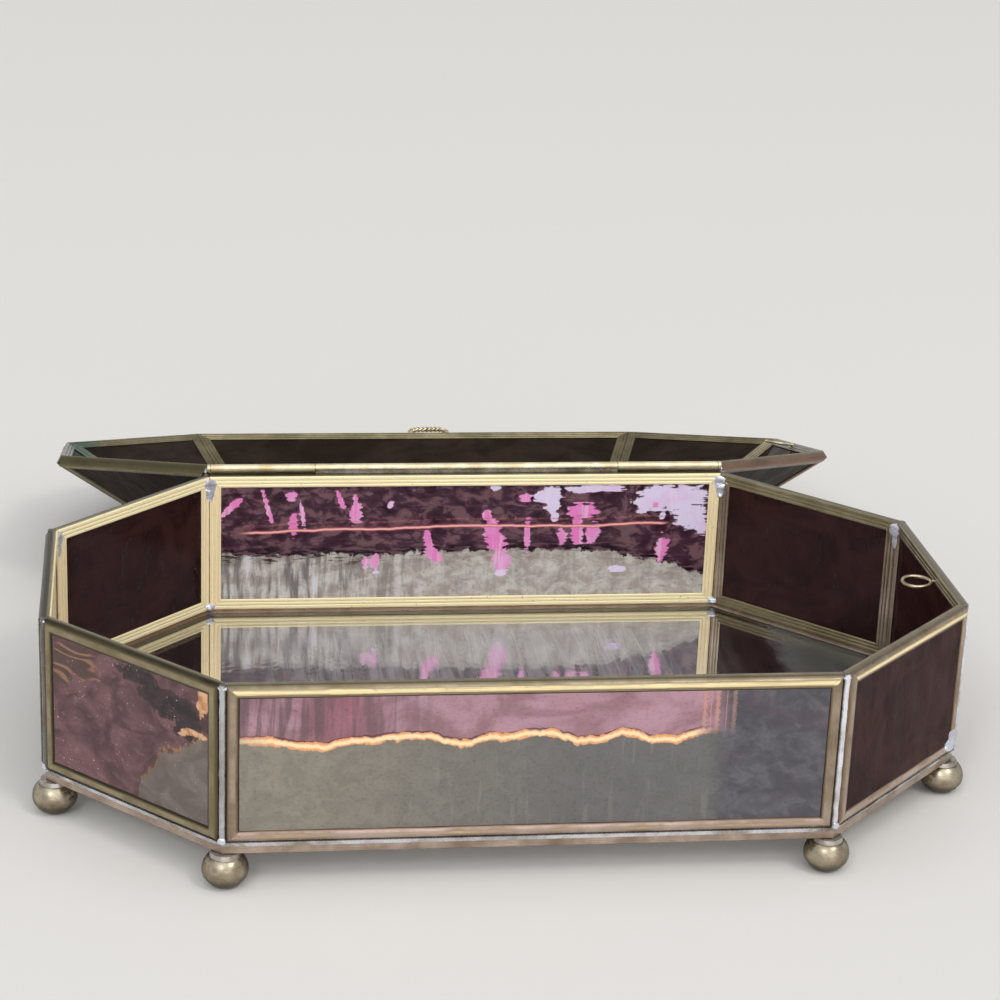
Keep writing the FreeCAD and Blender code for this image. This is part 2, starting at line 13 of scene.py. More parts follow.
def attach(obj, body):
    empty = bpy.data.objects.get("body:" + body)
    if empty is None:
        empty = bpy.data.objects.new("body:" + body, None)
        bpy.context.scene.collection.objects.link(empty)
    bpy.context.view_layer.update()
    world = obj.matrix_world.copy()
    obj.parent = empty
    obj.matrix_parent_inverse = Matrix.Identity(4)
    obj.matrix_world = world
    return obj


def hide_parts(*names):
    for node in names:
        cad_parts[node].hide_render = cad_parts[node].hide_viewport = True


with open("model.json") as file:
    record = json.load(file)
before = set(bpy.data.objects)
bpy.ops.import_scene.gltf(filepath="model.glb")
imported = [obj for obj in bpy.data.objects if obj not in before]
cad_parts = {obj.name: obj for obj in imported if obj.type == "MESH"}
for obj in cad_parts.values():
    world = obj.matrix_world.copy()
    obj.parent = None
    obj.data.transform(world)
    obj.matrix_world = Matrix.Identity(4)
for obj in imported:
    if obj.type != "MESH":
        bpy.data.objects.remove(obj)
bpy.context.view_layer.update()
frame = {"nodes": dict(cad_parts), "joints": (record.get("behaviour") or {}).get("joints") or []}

# ---------------------------------------------------------------- sizes, in millimetres
FRONT, SIDE, CUT = 160.0, 66.0, 46.0
CAME_T, CAME_W = 3.5, 3.4
GLASS_T, GLASS_BITE, GLASS_PLAY = 2.4, 2.4, 0.05
GLASS_LOW = (CAME_T - GLASS_T) / 2
GLASS_HIGH = GLASS_LOW + GLASS_T
GLASS_INSET = CAME_W - GLASS_BITE + GLASS_PLAY
SEAM_SUNK = 0.4
SEAM_R = CAME_T - SEAM_SUNK
WALL_H, FOOT_H, FOOT_R, FOOT_SETBACK = 43.2, 9.6, 6.05, 3.4
LID_SLOPE, LID_RISE, LID_GAP = math.radians(34.0), 45.0, 0.3
FLOOR_SETBACK = 1.2
HINGE_BACK, HINGE_RISE = 0.6, 1.45
HALF_TURN = math.radians(22.5)
MITRE = math.tan(HALF_TURN)

FRONT_OUT = SIDE / 2 + CUT
SIDE_OUT = FRONT / 2 + CUT
CORNER_OUT = (FRONT + 2 * FRONT_OUT) / math.sqrt(8)
CORNER_ALONG = (FRONT - SIDE) / math.sqrt(8)
LENGTHS = {"front": FRONT, "side": SIDE, "corner": CUT * math.sqrt(2)}
FLOOR_Z = FOOT_H + CAME_T
RIM_Z = FLOOR_Z + WALL_H
LID_SETBACK = CAME_T * math.sin(LID_SLOPE)
LID_Z = RIM_Z + LID_GAP
TOP_INSET = LID_SETBACK + LID_RISE * math.cos(LID_SLOPE)
TOP_Z = LID_Z + LID_RISE * math.sin(LID_SLOPE)
HINGE = frame["joints"][0]["pos_m"]
AXIS_Y, AXIS_Z = FRONT_OUT + HINGE_BACK, RIM_Z + HINGE_RISE
SHIFT = HINGE[1] * 1000 - AXIS_Y
OPEN = -math.radians(frame["joints"][0]["range_deg"][0])

WALLS = [
    ("front", "front", 0), ("front_right", "corner", 45), ("right", "side", 90),
    ("back_right", "corner", 135), ("back", "front", 180), ("back_left", "corner", 225),
    ("left", "side", 270), ("front_left", "corner", 315),
]
CORNERS = ["front_right", "right_front", "right_back", "back_right",
           "back_left", "left_back", "left_front", "front_left"]


def turn(degrees, axis):
    return Matrix.Rotation(math.radians(degrees), 4, axis)


def move(x, y, z=0.0):
    return Matrix.Translation((x, y, z))


TRAY = Matrix.Scale(0.001, 4) @ move(0, SHIFT, 0)
LID = TRAY @ move(0, AXIS_Y, AXIS_Z) @ Matrix.Rotation(-OPEN, 4, "X") @ move(0, -AXIS_Y, -AXIS_Z)


def wall_middle(kind, yaw, inset):
    """The middle of an edge of the octagon, moved in by inset."""
    out = {"front": FRONT_OUT, "side": SIDE_OUT, "corner": CORNER_OUT}[kind] - inset
    along = 0.0
    if kind == "corner":
        along = CORNER_ALONG * (1 if yaw in (45, 225) else -1)
    a = math.radians(yaw)
    return (out * math.sin(a) + along * math.cos(a), along * math.sin(a) - out * math.cos(a))


def corner_point(index, inset):
    """The octagon's corner number index, moved in by inset, and its yaw."""
    along_front = CORNERS[index].startswith(("front", "back"))
    x = FRONT / 2 - inset * MITRE if along_front else SIDE_OUT - inset
    y = FRONT_OUT - inset if along_front else SIDE / 2 - inset * MITRE
    return (x if index < 4 else -x, y if 2 <= index < 6 else -y, 22.5 + 45 * index)


def wall_place(kind, yaw):
    return TRAY @ move(*wall_middle(kind, yaw, CAME_T), FLOOR_Z) @ turn(yaw, "Z") @ turn(90, "X")


def lid_place(kind, yaw):
    return (LID @ move(*wall_middle(kind, yaw, LID_SETBACK), LID_Z) @ turn(yaw, "Z")
            @ Matrix.Rotation(LID_SLOPE, 4, "X"))


def pane_corners(base, top, rise):
    return [Vector(p) for p in ((-base / 2, 0), (base / 2, 0), (top / 2, rise), (-top / 2, rise))]


def octagon(inset):
    """The tray's outline seen from above, anticlockwise, moved in by inset."""
    order = [7, 0, 1, 2, 3, 4, 5, 6]
    return [Vector(corner_point(i, inset)[:2]) for i in order]


def inset_rays(corners):
    """For each corner of a convex outline, how it moves when the edges move in by one."""
    rays = []
    count = len(corners)
    for i in range(count):
        before = (corners[i] - corners[i - 1]).normalized()
        after = (corners[(i + 1) % count] - corners[i]).normalized()
        n1, n2 = Vector((-before.y, before.x)), Vector((-after.y, after.x))
        rays.append((n1 + n2) / (1 + n1.dot(n2)))
    return rays


# ---------------------------------------------------------------- mesh making

# rings near a mitre, the spacing of the rest, and how deep the line at the mitre is
MITRE_RING, SECOND_RING, THIRD_RING, RING_STEP, MITRE_GROOVE = 0.22, 0.6, 1.2, 2.4, 0.07
WIRE_SIDES, BALL_SIDES, BALL_DENT = 14, 72, 0.03
BEAD_STEP, BEAD_ARC, BEAD_ROOT = 0.9, 11, -0.35
DAB_RINGS, DAB_SIDES = 12, 20


def in_scene(name, data):
    thing = bpy.data.objects.new(name, data)
    bpy.context.scene.collection.objects.link(thing)
    return thing


def add(name, made, matrix, material, body, slot, replaces=(), sharp=35.0):
    """A piece from a mesh in its own frame: smooth, with sharp edges over an angle."""
    verts, faces, uvs, values = made
    mesh = bpy.data.meshes.new(name)
    mesh.from_pydata([matrix @ Vector(v) for v in verts], [], faces)
    mesh.validate()
    layer = mesh.uv_layers.new(name="along")
    for loop, uv in zip(layer.data, uvs):
        loop.uv = uv
    for label, numbers in values.items():
        mesh.attributes.new(label, "FLOAT", "POINT").data.foreach_set("value", numbers)
    mesh.shade_smooth()
    mesh.set_sharp_from_angle(angle=math.radians(sharp))
    piece = in_scene(name, mesh)
    for item in (material if isinstance(material, list) else [material]):
        mesh.materials.append(item)
    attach(piece, body)
    if replaces:
        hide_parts(*replaces)
    return piece


def wobble(p, seed, size=0.045):
    """How far a drawn strip or bead strays at a point."""
    q = Vector(p) * 0.11 + Vector((seed * 7.31, seed * 3.7, seed * 1.9))
    return size * noise.noise(q) + 0.3 * size * noise.noise(q * 5.0)


def stations(length):
    """Shares along a side, close together at its mitred ends, the last just short of the end."""
    near = [0.0, MITRE_RING, SECOND_RING]
    inner = length - 2 * THIRD_RING
    count = max(2, round(inner / RING_STEP))
    middle = [THIRD_RING + inner * i / count for i in range(count + 1)]
    return [s / length for s in near + middle + [length - n for n in near[:0:-1]]]


def profile_normals(profile):
    normals = []
    count = len(profile)
    for i in range(count):
        a, b = Vector(profile[i - 1]), Vector(profile[(i + 1) % count])
        d = (b - a).normalized()
        normals.append(Vector((d.y, -d.x)))
    return normals


def frame_mesh(corners, profile, seed, labels):
    """A profile of (inset, height) swept round an outline, with mitred corners.

    Each side runs on into the first ring of the next, so its own last ring isn't drawn.
    """
    rays, normals = inset_rays(corners), profile_normals(profile)
    across = [0.0]
    for a, b in zip(profile, profile[1:] + profile[:1]):
        across.append(across[-1] + (Vector(b) - Vector(a)).length)
    verts, faces, uvs, spans = [], [], [], []
    numbers = {label: [] for label in labels}
    count, k = len(corners), len(profile)
    run = 0.0
    for i in range(count):
        j = (i + 1) % count
        length = (corners[j] - corners[i]).length
        inward = (corners[j] - corners[i]).normalized()
        inward = Vector((-inward.y, inward.x))
        shares = stations(length)
        for t, after in zip(shares, shares[1:]):
            spans.append((run + t * length, run + after * length))
            dip = MITRE_GROOVE * max(0.0, 1 - min(t, 1 - t) * length / MITRE_RING)
            for (d, z), n in zip(profile, normals):
                at = (corners[i] + rays[i] * d).lerp(corners[j] + rays[j] * d, t)
                off = -abs(wobble((at.x, at.y, z), seed)) - dip
                if t == 0.0:
                    n = Vector((0.0, n.y))
                at = at + inward * (n.x * off)
                verts.append((at.x, at.y, z + n.y * off))
                for label, fn in labels.items():
                    numbers[label].append(fn(d, z, i))
        run += length
    for a, (start, end) in enumerate(spans):
        b = (a + 1) % len(spans)
        for m in range(k):
            n = (m + 1) % k
            faces.append((a * k + m, b * k + m, b * k + n, a * k + n))
            uvs += [(start, across[m]), (end, across[m]),
                    (end, across[m + 1]), (start, across[m + 1])]
    return verts, faces, uvs, numbers


def rows_of(corners, step):
    """Heights to cut an outline at, its corners among them, and its reach left and right."""
    levels = sorted({round(c.y, 6) for c in corners})
    heights = []
    for low, high in zip(levels, levels[1:]):
        count = max(1, round((high - low) / step))
        heights += [low + (high - low) * i / count for i in range(count)]
    heights.append(levels[-1])
    rows = []
    count = len(corners)
    for y in heights:
        xs = []
        for i in range(count):
            a, b = corners[i], corners[(i + 1) % count]
            if min(a.y, b.y) - 1e-6 <= y <= max(a.y, b.y) + 1e-6:
                if abs(a.y - b.y) < 1e-6:
                    xs += [a.x, b.x]
                else:
                    xs.append(a.x + (b.x - a.x) * (y - a.y) / (b.y - a.y))
        rows.append((y, min(xs), max(xs)))
    return rows


def sheet_mesh(corners, ripple, step, values):
    """A sheet of glass with both faces rippled, fine enough to bend what is seen through it."""
    corners = [c + r * GLASS_INSET for c, r in zip(corners, inset_rays(corners))]
    rows = rows_of(corners, step)
    columns = max(2, round(max(x1 - x0 for _, x0, x1 in rows) / step))
    verts, spots = [], []
    for side in (0, 1):
        for y, x0, x1 in rows:
            for c in range(columns + 1):
                x = x0 + (x1 - x0) * c / columns
                z = (GLASS_LOW, GLASS_HIGH)[side] + ripple(x, y, side)
                verts.append((x, y, z))
                spots.append((x, y))
    width, layer = columns + 1, len(rows) * (columns + 1)
    faces = []
    for side in (0, 1):
        for r in range(len(rows) - 1):
            for c in range(columns):
                a = side * layer + r * width + c
                quad = (a, a + 1, a + width + 1, a + width)
                faces.append(quad if side else quad[::-1])
    rim = ([(0, c) for c in range(columns)] + [(r, columns) for r in range(len(rows) - 1)]
           + [(len(rows) - 1, c) for c in range(columns, 0, -1)]
           + [(r, 0) for r in range(len(rows) - 1, 0, -1)])
    for (r, c), (r2, c2) in zip(rim, rim[1:] + rim[:1]):
        a, b = r * width + c, r2 * width + c2
        faces.append((a, b, b + layer, a + layer))
    uvs = [spots[v] for face in faces for v in face]
    made = {label: [fn(x, y) for x, y in spots] for label, fn in values.items()}
    return verts, faces, uvs, made


def lathe_mesh(profile, seed):
    """A closed outline of (radius, height), radius 0 at both ends, turned once round."""
    verts, faces = [], []
    inner = profile[1:-1]
    for s in range(BALL_SIDES):
        a = 2 * math.pi * s / BALL_SIDES
        for r, z in inner:
            p = Vector((r * math.cos(a), r * math.sin(a), z))
            scale = 1 - abs(wobble(p * 2.5, seed, BALL_DENT)) / max(r, 1.0)
            verts.append((p.x * scale, p.y * scale, z))
    k = len(inner)
    for s in range(BALL_SIDES):
        n = (s + 1) % BALL_SIDES
        for m in range(k - 1):
            faces.append((s * k + m, n * k + m, n * k + m + 1, s * k + m + 1))
    bottom, top = len(verts), len(verts) + 1
    verts += [(0, 0, profile[0][1]), (0, 0, profile[-1][1])]
    for s in range(BALL_SIDES):
        n = (s + 1) % BALL_SIDES
        faces.append((bottom, n * k, s * k))
        faces.append((top, s * k + k - 1, n * k + k - 1))
    uvs = []
    for face in faces:
        for v in face:
            x, y, z = verts[v]
            uvs.append((math.atan2(y, x) * 5, z))
    return verts, faces, uvs, {}


def wire_mesh(path, radius, closed=False):
    """A round wire along points, with flat ends where it isn't closed."""
    count = len(path)
    points = [Vector(p) for p in path]
    tangents = []
    for i in range(count):
        if closed:
            d = points[(i + 1) % count] - points[i - 1]
        else:
            d = points[min(i + 1, count - 1)] - points[max(i - 1, 0)]
        tangents.append(d.normalized())
    up = tangents[0].orthogonal().normalized()
    verts, faces, uvs = [], [], []
    run = 0.0
    runs = []
    for i in range(count):
        if i:
            run += (points[i] - points[i - 1]).length
            axis = tangents[i - 1].cross(tangents[i])
            if axis.length > 1e-9:
                up = Matrix.Rotation(tangents[i - 1].angle(tangents[i]), 3, axis.normalized()) @ up
        runs.append(run)
        side = tangents[i].cross(up).normalized()
        for s in range(WIRE_SIDES):
            a = 2 * math.pi * s / WIRE_SIDES
            verts.append(points[i] + (up * math.cos(a) + side * math.sin(a)) * radius)
    for i in range(count if closed else count - 1):
        j = (i + 1) % count
        for s in range(WIRE_SIDES):
            n = (s + 1) % WIRE_SIDES
            faces.append((i * WIRE_SIDES + s, i * WIRE_SIDES + n, j * WIRE_SIDES + n, j * WIRE_SIDES + s))
            end = runs[j] if j else runs[-1] + 0.5
            uvs += [(runs[i], s / 3), (runs[i], (s + 1) / 3), (end, (s + 1) / 3), (end, s / 3)]
    if not closed:
        last = (count - 1) * WIRE_SIDES
        faces += [tuple(range(WIRE_SIDES))[::-1], tuple(last + s for s in range(WIRE_SIDES))]
        uvs += [(0.0, s / 3) for s in range(WIRE_SIDES)] * 2
    return verts, faces, uvs, {}


def wedge_mesh(length, half_angle, seed, lump=0.16):
    """A lumpy run of solder in a V, along Z, its rounded face towards -Y."""
    count = max(3, round(length / BEAD_STEP))
    verts, faces, uvs, edge = [], [], [], []
    k = BEAD_ARC + 1
    for i in range(count + 1):
        z = length * i / count
        swell = lump * noise.noise(Vector((z * 0.28, seed * 5.3, 0))) \
            + 0.4 * lump * noise.noise(Vector((z * 1.1, seed * 2.1, 4)))
        wander = 0.10 * noise.noise(Vector((z * 0.4, seed * 3.3, 9)))
        verts.append((0.0, BEAD_ROOT, z))
        edge.append(1.0)
        for m in range(BEAD_ARC):
            side = 2 * m / (BEAD_ARC - 1) - 1
            a = half_angle * 1.02 * side + wander * half_angle
            r = SEAM_R + swell * (1.35 - side * side) - 0.62 * side * side
            verts.append((r * math.sin(a), -r * math.cos(a), z))
            edge.append(abs(side))
    for i in range(count):
        for m in range(k):
            n = (m + 1) % k
            faces.append((i * k + m, i * k + n, (i + 1) * k + n, (i + 1) * k + m))
            start, end = i * BEAD_STEP, i * BEAD_STEP + BEAD_STEP
            uvs += [(start, m), (start, m + 1), (end, m + 1), (end, m)]
    faces.append(tuple(range(k))[::-1])
    faces.append(tuple(count * k + m for m in range(k)))
    uvs += [(0.0, float(m)) for m in range(k)] * 2
    return verts, faces, uvs, {"edge": edge}


def blob_mesh(size, seed):
    """A dab of solder: a flattened ball with a lumpy skin."""
    verts, faces, uvs = [(0, 0, -size[2])], [], []
    for i in range(1, DAB_RINGS):
        a = math.pi * i / DAB_RINGS
        for s in range(DAB_SIDES):
            b = 2 * math.pi * s / DAB_SIDES
            p = Vector((math.sin(a) * math.cos(b), math.sin(a) * math.sin(b), -math.cos(a)))
            swell = 1 + 0.22 * noise.noise(p * 1.6 + Vector((seed * 9.1, seed, 0)))
            verts.append(tuple(p[axis] * size[axis] * swell for axis in range(3)))
    verts.append((0, 0, size[2]))
    last = len(verts) - 1
    for s in range(DAB_SIDES):
        n = (s + 1) % DAB_SIDES
        faces.append((0, 1 + n, 1 + s))
        faces.append((last, last - DAB_SIDES + s, last - DAB_SIDES + n))
        for i in range(DAB_RINGS - 2):
            a = 1 + i * DAB_SIDES
            faces.append((a + s, a + n, a + DAB_SIDES + n, a + DAB_SIDES + s))
    for face in faces:
        for v in face:
            uvs.append((verts[v][0], verts[v][2]))
    return verts, faces, uvs, {"edge": [0.0] * len(verts)}


def joined(parts):
    """Several meshes as one, each brought to row metres by its own matrix."""
    verts, faces, uvs = [], [], []
    values = {}
    for (v, f, u, extra), matrix in parts:
        base = len(verts)
        verts += [matrix @ Vector(p) for p in v]
        faces += [tuple(i + base for i in face) for face in f]
        uvs += u
        for label, numbers in extra.items():
            values.setdefault(label, []).extend(numbers)
    return verts, faces, uvs, values


def add_joined(name, parts, *rest, **more):
    add(name, joined(parts), Matrix.Identity(4), *rest, **more)


# ---------------------------------------------------------------- materials

GLASS_IOR = 1.5


class Graph:
    """Short names for the nodes of one material or world."""

    def __init__(self, owner, kind="BSDF_PRINCIPLED"):
        owner.use_nodes = True
        self.owner, self.tree = owner, owner.node_tree
        self.shader = next(n for n in self.tree.nodes if n.type == kind)

    def shade(self, **items):
        """What owns the graph, with these put in its shader's sockets."""
        for label, item in items.items():
            self.put(self.shader.inputs[label.replace("_", " ")], item)
        return self.owner

    def glassy(self, colour, through, **more):
        """Glass of a colour that lets through this share of the light."""
        return self.shade(Base_Color=colour, Roughness=0.0, IOR=GLASS_IOR,
                          Transmission_Weight=through, **more)

    def put(self, socket, item):
        if isinstance(item, bpy.types.NodeSocket):
            self.tree.links.new(item, socket)
        else:
            socket.default_value = item

    def node(self, kind, sockets, output=0, **settings):
        """One output of a node with these sockets filled."""
        made = self.tree.nodes.new(kind)
        for label, setting in settings.items():
            setattr(made, label, setting)
        for label, item in sockets.items():
            self.put(made.inputs[label], item)
        return made.outputs[output]

    def math(self, operation, a, b=0.0, clamp=False):
        return self.node("ShaderNodeMath", {0: a, 1: b}, operation=operation, use_clamp=clamp)

    def add(self, a, b):
        return self.math("ADD", a, b)

    def mul(self, a, b):
        return self.math("MULTIPLY", a, b)

    def absolute(self, item):
        return self.math("ABSOLUTE", item)

    def rest(self, share, clamp=False):
        """What a share leaves of one."""
        return self.math("SUBTRACT", 1.0, share, clamp)

    def swing(self, noise, gain):
        """A noise moved to swing about nought, times gain."""
        return self.mul(self.add(noise, -0.5), gain)

    def span(self, item, low, high, to_low=0.0, to_high=1.0):
        """A smooth step from to_low, where an item is low, to to_high, where it is high."""
        return self.node("ShaderNodeMapRange",
                         {"Value": item, "From Min": low, "From Max": high, "To Min": to_low,
                          "To Max": to_high}, interpolation_type="SMOOTHSTEP")

    def fall(self, item, low, high):
        """1 below low, falling to 0 at high."""
        return self.span(item, low, high, 1.0, 0.0)

    def mixed(self, share, a, b):
        """A number between two."""
        return self.node("ShaderNodeMix", {0: share, 2: a, 3: b}, data_type="FLOAT")

    def mix(self, share, a, b):
        """A colour between two."""
        a, b = ((*item, 1.0) if isinstance(item, tuple) else item for item in (a, b))
        return self.node("ShaderNodeMix", {0: share, 6: a, 7: b}, 2, data_type="RGBA")

    def layers(self, colour, *more):
        """A colour with others laid over it in turn, each by its share."""
        for share, over in more:
            colour = self.mix(share, colour, over)
        return colour

    def mapped(self, vector, scale):
        return self.node("ShaderNodeMapping", {"Vector": vector, "Scale": scale})

    def uv(self, scale=(1, 1)):
        """A place along and across a strip, or along and up a pane, in its millimetres."""
        return self.mapped(self.node("ShaderNodeUVMap", {}, uv_map="along"), (*scale, 1))

    def point(self):
        """A place on the piece at rest, in metres."""
        return self.node("ShaderNodeTexCoord", {}, "Object")

    def noise(self, vector, detail, rough, warp=0.0):
        return self.node("ShaderNodeTexNoise",
                         {"Vector": vector, "Scale": 1.0, "Detail": detail, "Roughness": rough,
                          "Distortion": warp})

    def uv_noise(self, scale, *settings):
        return self.noise(self.uv(scale), *settings)

    def place_noise(self, scale, *settings):
        return self.noise(self.mapped(self.point(), scale), *settings)

    def part(self, vector, axis):
        return self.node("ShaderNodeSeparateXYZ", {0: vector}, axis)

    def along(self, axis):
        """Where a point of the piece is at rest along X, Y or Z, in metres."""
        return self.part(self.mapped(self.point(), (1, 1, 1)), axis)

    def near(self, point, inner, outer):
        """1 within inner of a point of the piece at rest, falling to 0 at outer, in metres."""
        away = self.node("ShaderNodeVectorMath", {0: self.point(), 1: point}, "Value",
                         operation="DISTANCE")
        return self.fall(away, inner, outer)

    def facing(self, low, high):
        """0 where a face is square to the eye, towards 1 where it turns away."""
        return self.span(self.node("ShaderNodeLayerWeight", {"Blend": 0.5}, "Facing"), low, high)

    def attribute(self, label):
        return self.node("ShaderNodeAttribute", {}, "Fac", attribute_name=label)

    def bump(self, height, strength, distance, **before):
        return self.node("ShaderNodeBump", {"Height": height, "Strength": strength,
                                            "Distance": distance, **before})


def coat(name):
    """The graph of a new material."""
    return Graph(bpy.data.materials.new(name))


# the corner of the lid that is at the left front when it is shut, and has gone green
LID_TIP = (LID @ Vector((-SIDE_OUT + 2, -SIDE / 2, LID_Z)))[:]


def brass_came():
    """Drawn brass strip: yellow where it is sheltered, olive brown where air and grime reach, with
    painted light over it: a cream painted highlight along the crown, painted shade at the edges, on
    grazing faces and on the darker sides, and a painted orange glow on the uprights inside.
    """
    g = coat("brass_came")
    lines = g.uv_noise((0.03, 4.5), 3.0, 0.6)
    fine = g.uv_noise((0.10, 16.0), 2.0, 0.5)
    patches = g.place_noise((90, 90, 90), 4.0, 0.6)
    specks = g.place_noise((900, 900, 900), 2.0, 0.7)
    age_and_light, blush = g.attribute("age_and_light"), g.attribute("blush")
    wear_and_light = g.add(age_and_light, g.swing(patches, 0.50))
    wear_and_light = g.add(wear_and_light, g.swing(lines, 0.30))
    gold = g.layers(
        g.mix(g.span(lines, 0.66, 0.50), (0.88, 0.60, 0.27), (1.0, 0.87, 0.50)),
        # painted orange glow on the uprights inside, besides the copper tone
        (g.mul(blush, 0.9), (1.0, 0.74, 0.42)),
        # painted highlight: cream where the strip is brightest
        (g.span(age_and_light, 0.10, -0.25, 0.0, 0.6), (1.0, 0.93, 0.68)))
    sheltered = g.span(age_and_light, 0.30, 0.0)
    olive = g.mix(g.span(patches, 0.3, 0.7), (0.19, 0.16, 0.085), (0.35, 0.295, 0.175))
    copper = g.mix(g.span(patches, 0.3, 0.7), (0.28, 0.20, 0.155), (0.52, 0.41, 0.345))
    colour = g.layers(
        g.mix(g.span(wear_and_light, 0.10, 0.46), gold, g.mix(blush, olive, copper)),
        # grime, and painted shade at the strip's edges, darkest at the lip by the glass
        (g.span(wear_and_light, 0.66, 1.02), g.mix(blush, (0.115, 0.10, 0.052), (0.21, 0.125, 0.085))),
        (g.span(wear_and_light, 0.98, 1.30), (0.045, 0.036, 0.024)),
        # painted shade where a face turns away from the eye
        (g.mul(g.facing(0.55, 0.95), g.span(age_and_light, 0.25, 0.5)), (0.055, 0.046, 0.028)),
        (g.span(specks, 0.66, 0.74, 0.0, 0.55), (0.07, 0.05, 0.03)),
        (g.mul(g.near(LID_TIP, 0.006, 0.017), g.span(patches, 0.3, 0.6, 0.6, 1.0)),
         (0.10, 0.17, 0.14)))
    height = g.add(g.mul(lines, 0.8), g.mul(fine, 0.35))
    rough = g.mixed(g.span(wear_and_light, 0.55, 1.0), g.span(fine, 0.2, 0.8, 0.16, 0.30), 0.33)
    return g.shade(Base_Color=colour, Roughness=rough,
                   Metallic=g.mixed(sheltered, 0.7, 0.12), Specular_IOR_Level=0.1,
                   Normal=g.bump(height, 0.30, 0.00012, Normal=g.bump(patches, 0.2, 0.0004)))


def brass_ball():
    g = coat("brass_ball")
    patches = g.place_noise((160, 160, 160), 5.0, 0.62)
    pits = g.place_noise((1500, 1500, 1500), 2.0, 0.6)
    rubs = g.place_noise((300, 300, 2600), 3.0, 0.6)
    colour = g.mix(g.span(patches, 0.3, 0.7), (0.26, 0.21, 0.14), (0.52, 0.45, 0.33))
    # painted shade: darker on the lower part of the ball
    low = g.span(g.add(g.along("Z"), g.swing(patches, 0.0014)), 0.0054, 0.0018)
    colour = g.layers(
        colour,
        (g.mul(low, 0.92), (0.12, 0.10, 0.072)),
        # painted shade where the ball turns away from the eye
        (g.facing(0.35, 0.95), (0.075, 0.062, 0.045)),
        (g.span(pits, 0.62, 0.72, 0.0, 0.5), (0.10, 0.075, 0.045)))
    return g.shade(Base_Color=colour, Metallic=1.0,
                   Roughness=g.span(rubs, 0.3, 0.7, 0.22, 0.40),
                   Normal=g.bump(g.add(g.mul(rubs, 0.5), g.mul(pits, 0.5)), 0.25, 0.00015))


def brass_tube():
    g = coat("brass_tube")
    lines = g.uv_noise((0.05, 7.0), 3.0, 0.6)
    patches = g.place_noise((120, 120, 120), 4.0, 0.6)
    colour = g.mix(g.span(patches, 0.32, 0.7), (0.66, 0.53, 0.30), (1.0, 0.90, 0.66))
    colour = g.mix(g.span(lines, 0.55, 0.75, 0.0, 0.4), colour, (0.30, 0.21, 0.09))
    return g.shade(Base_Color=colour, Metallic=0.6,
                   Roughness=g.span(lines, 0.3, 0.7, 0.30, 0.42),
                   Normal=g.bump(lines, 0.25, 0.0001))


def solder(name, bright, dull, bead=False, metal=0.75, lumpy=0.30):
    """Tin-lead solder: lumpy, bright on the crown of a bead, with painted shade where it thins out and on
    the beads at the left.
    """
    g = coat(name)
    lumps = g.place_noise((420, 420, 420), 3.0, 0.55, 0.6)
    stain = g.place_noise((110, 110, 110), 4.0, 0.6)
    grit = g.place_noise((2200, 2200, 2200), 2.0, 0.6)
    colour = g.mix(g.span(stain, 0.30, 0.62), dull, bright)
    colour = g.mix(g.span(lumps, 0.62, 0.76, 0.0, 1.5 * lumpy), colour, (0.20, 0.185, 0.18))
    if bead:
        # painted shade towards the edges of a bead, so its crown reads as a highlight
        edge = g.add(g.attribute("edge"), g.swing(lumps, 0.35))
        colour = g.mix(g.span(edge, 0.42, 0.98), colour, (0.15, 0.13, 0.11))
        # painted shade on the beads at the left
        left = g.span(g.along("X"), -0.105, -0.055, 0.85, 0.0)
        colour = g.mix(left, colour, (0.10, 0.09, 0.062))
    return g.shade(Base_Color=colour, Metallic=metal,
                   Roughness=g.span(grit, 0.3, 0.7, 0.16, 0.30),
                   Normal=g.bump(g.add(lumps, g.mul(grit, 0.06)), lumpy, 0.0005))


def wire():
    g = coat("wire")
    tone = g.place_noise((260, 260, 260), 4.0, 0.6)
    draw = g.uv_noise((0.2, 4.0), 3.0, 0.6)
    colour = g.mix(g.span(tone, 0.35, 0.7), (0.52, 0.43, 0.27), (0.88, 0.79, 0.58))
    return g.shade(Base_Color=colour, Metallic=1.0,
                   Roughness=g.span(draw, 0.3, 0.7, 0.22, 0.38),
                   Normal=g.bump(draw, 0.2, 0.0001))


def glass(name, clear, deep, haze, haze_colour, shine=0.5):
    """Rolled glass: clear and deep tint what is seen through it, haze is what it holds back.

    The attribute shade runs from clear to deep, and milk is how much of the haze there is.
    """
    g = coat(name)
    cloud = g.uv_noise((0.05, 0.07), 4.0, 0.6, 0.8)
    streak = g.uv_noise((0.22, 0.06), 4.0, 0.6, 0.5)
    ragged = g.uv_noise((0.30, 0.30), 4.0, 0.65)
    mottle = g.add(g.mul(g.add(cloud, streak), 0.5), -0.5)
    tint = g.mix(g.span(g.add(g.attribute("shade"), g.mul(mottle, 0.9)), 0.0, 1.0), clear, deep)
    milk = g.span(g.add(g.attribute("milk"), g.swing(ragged, 0.8)), 0.35, 0.65)
    hazy = g.mul(g.mul(milk, g.span(streak, 0.2, 0.7, 0.75, 1.0)), haze)
    dim = tuple(0.55 * c for c in haze_colour)
    colour = g.mix(g.span(hazy, 0.0, 0.3), tint,
                   g.mix(g.span(cloud, 0.35, 0.65), haze_colour, dim))
    return g.glassy(colour, g.rest(hazy, clamp=True), Specular_IOR_Level=shine)


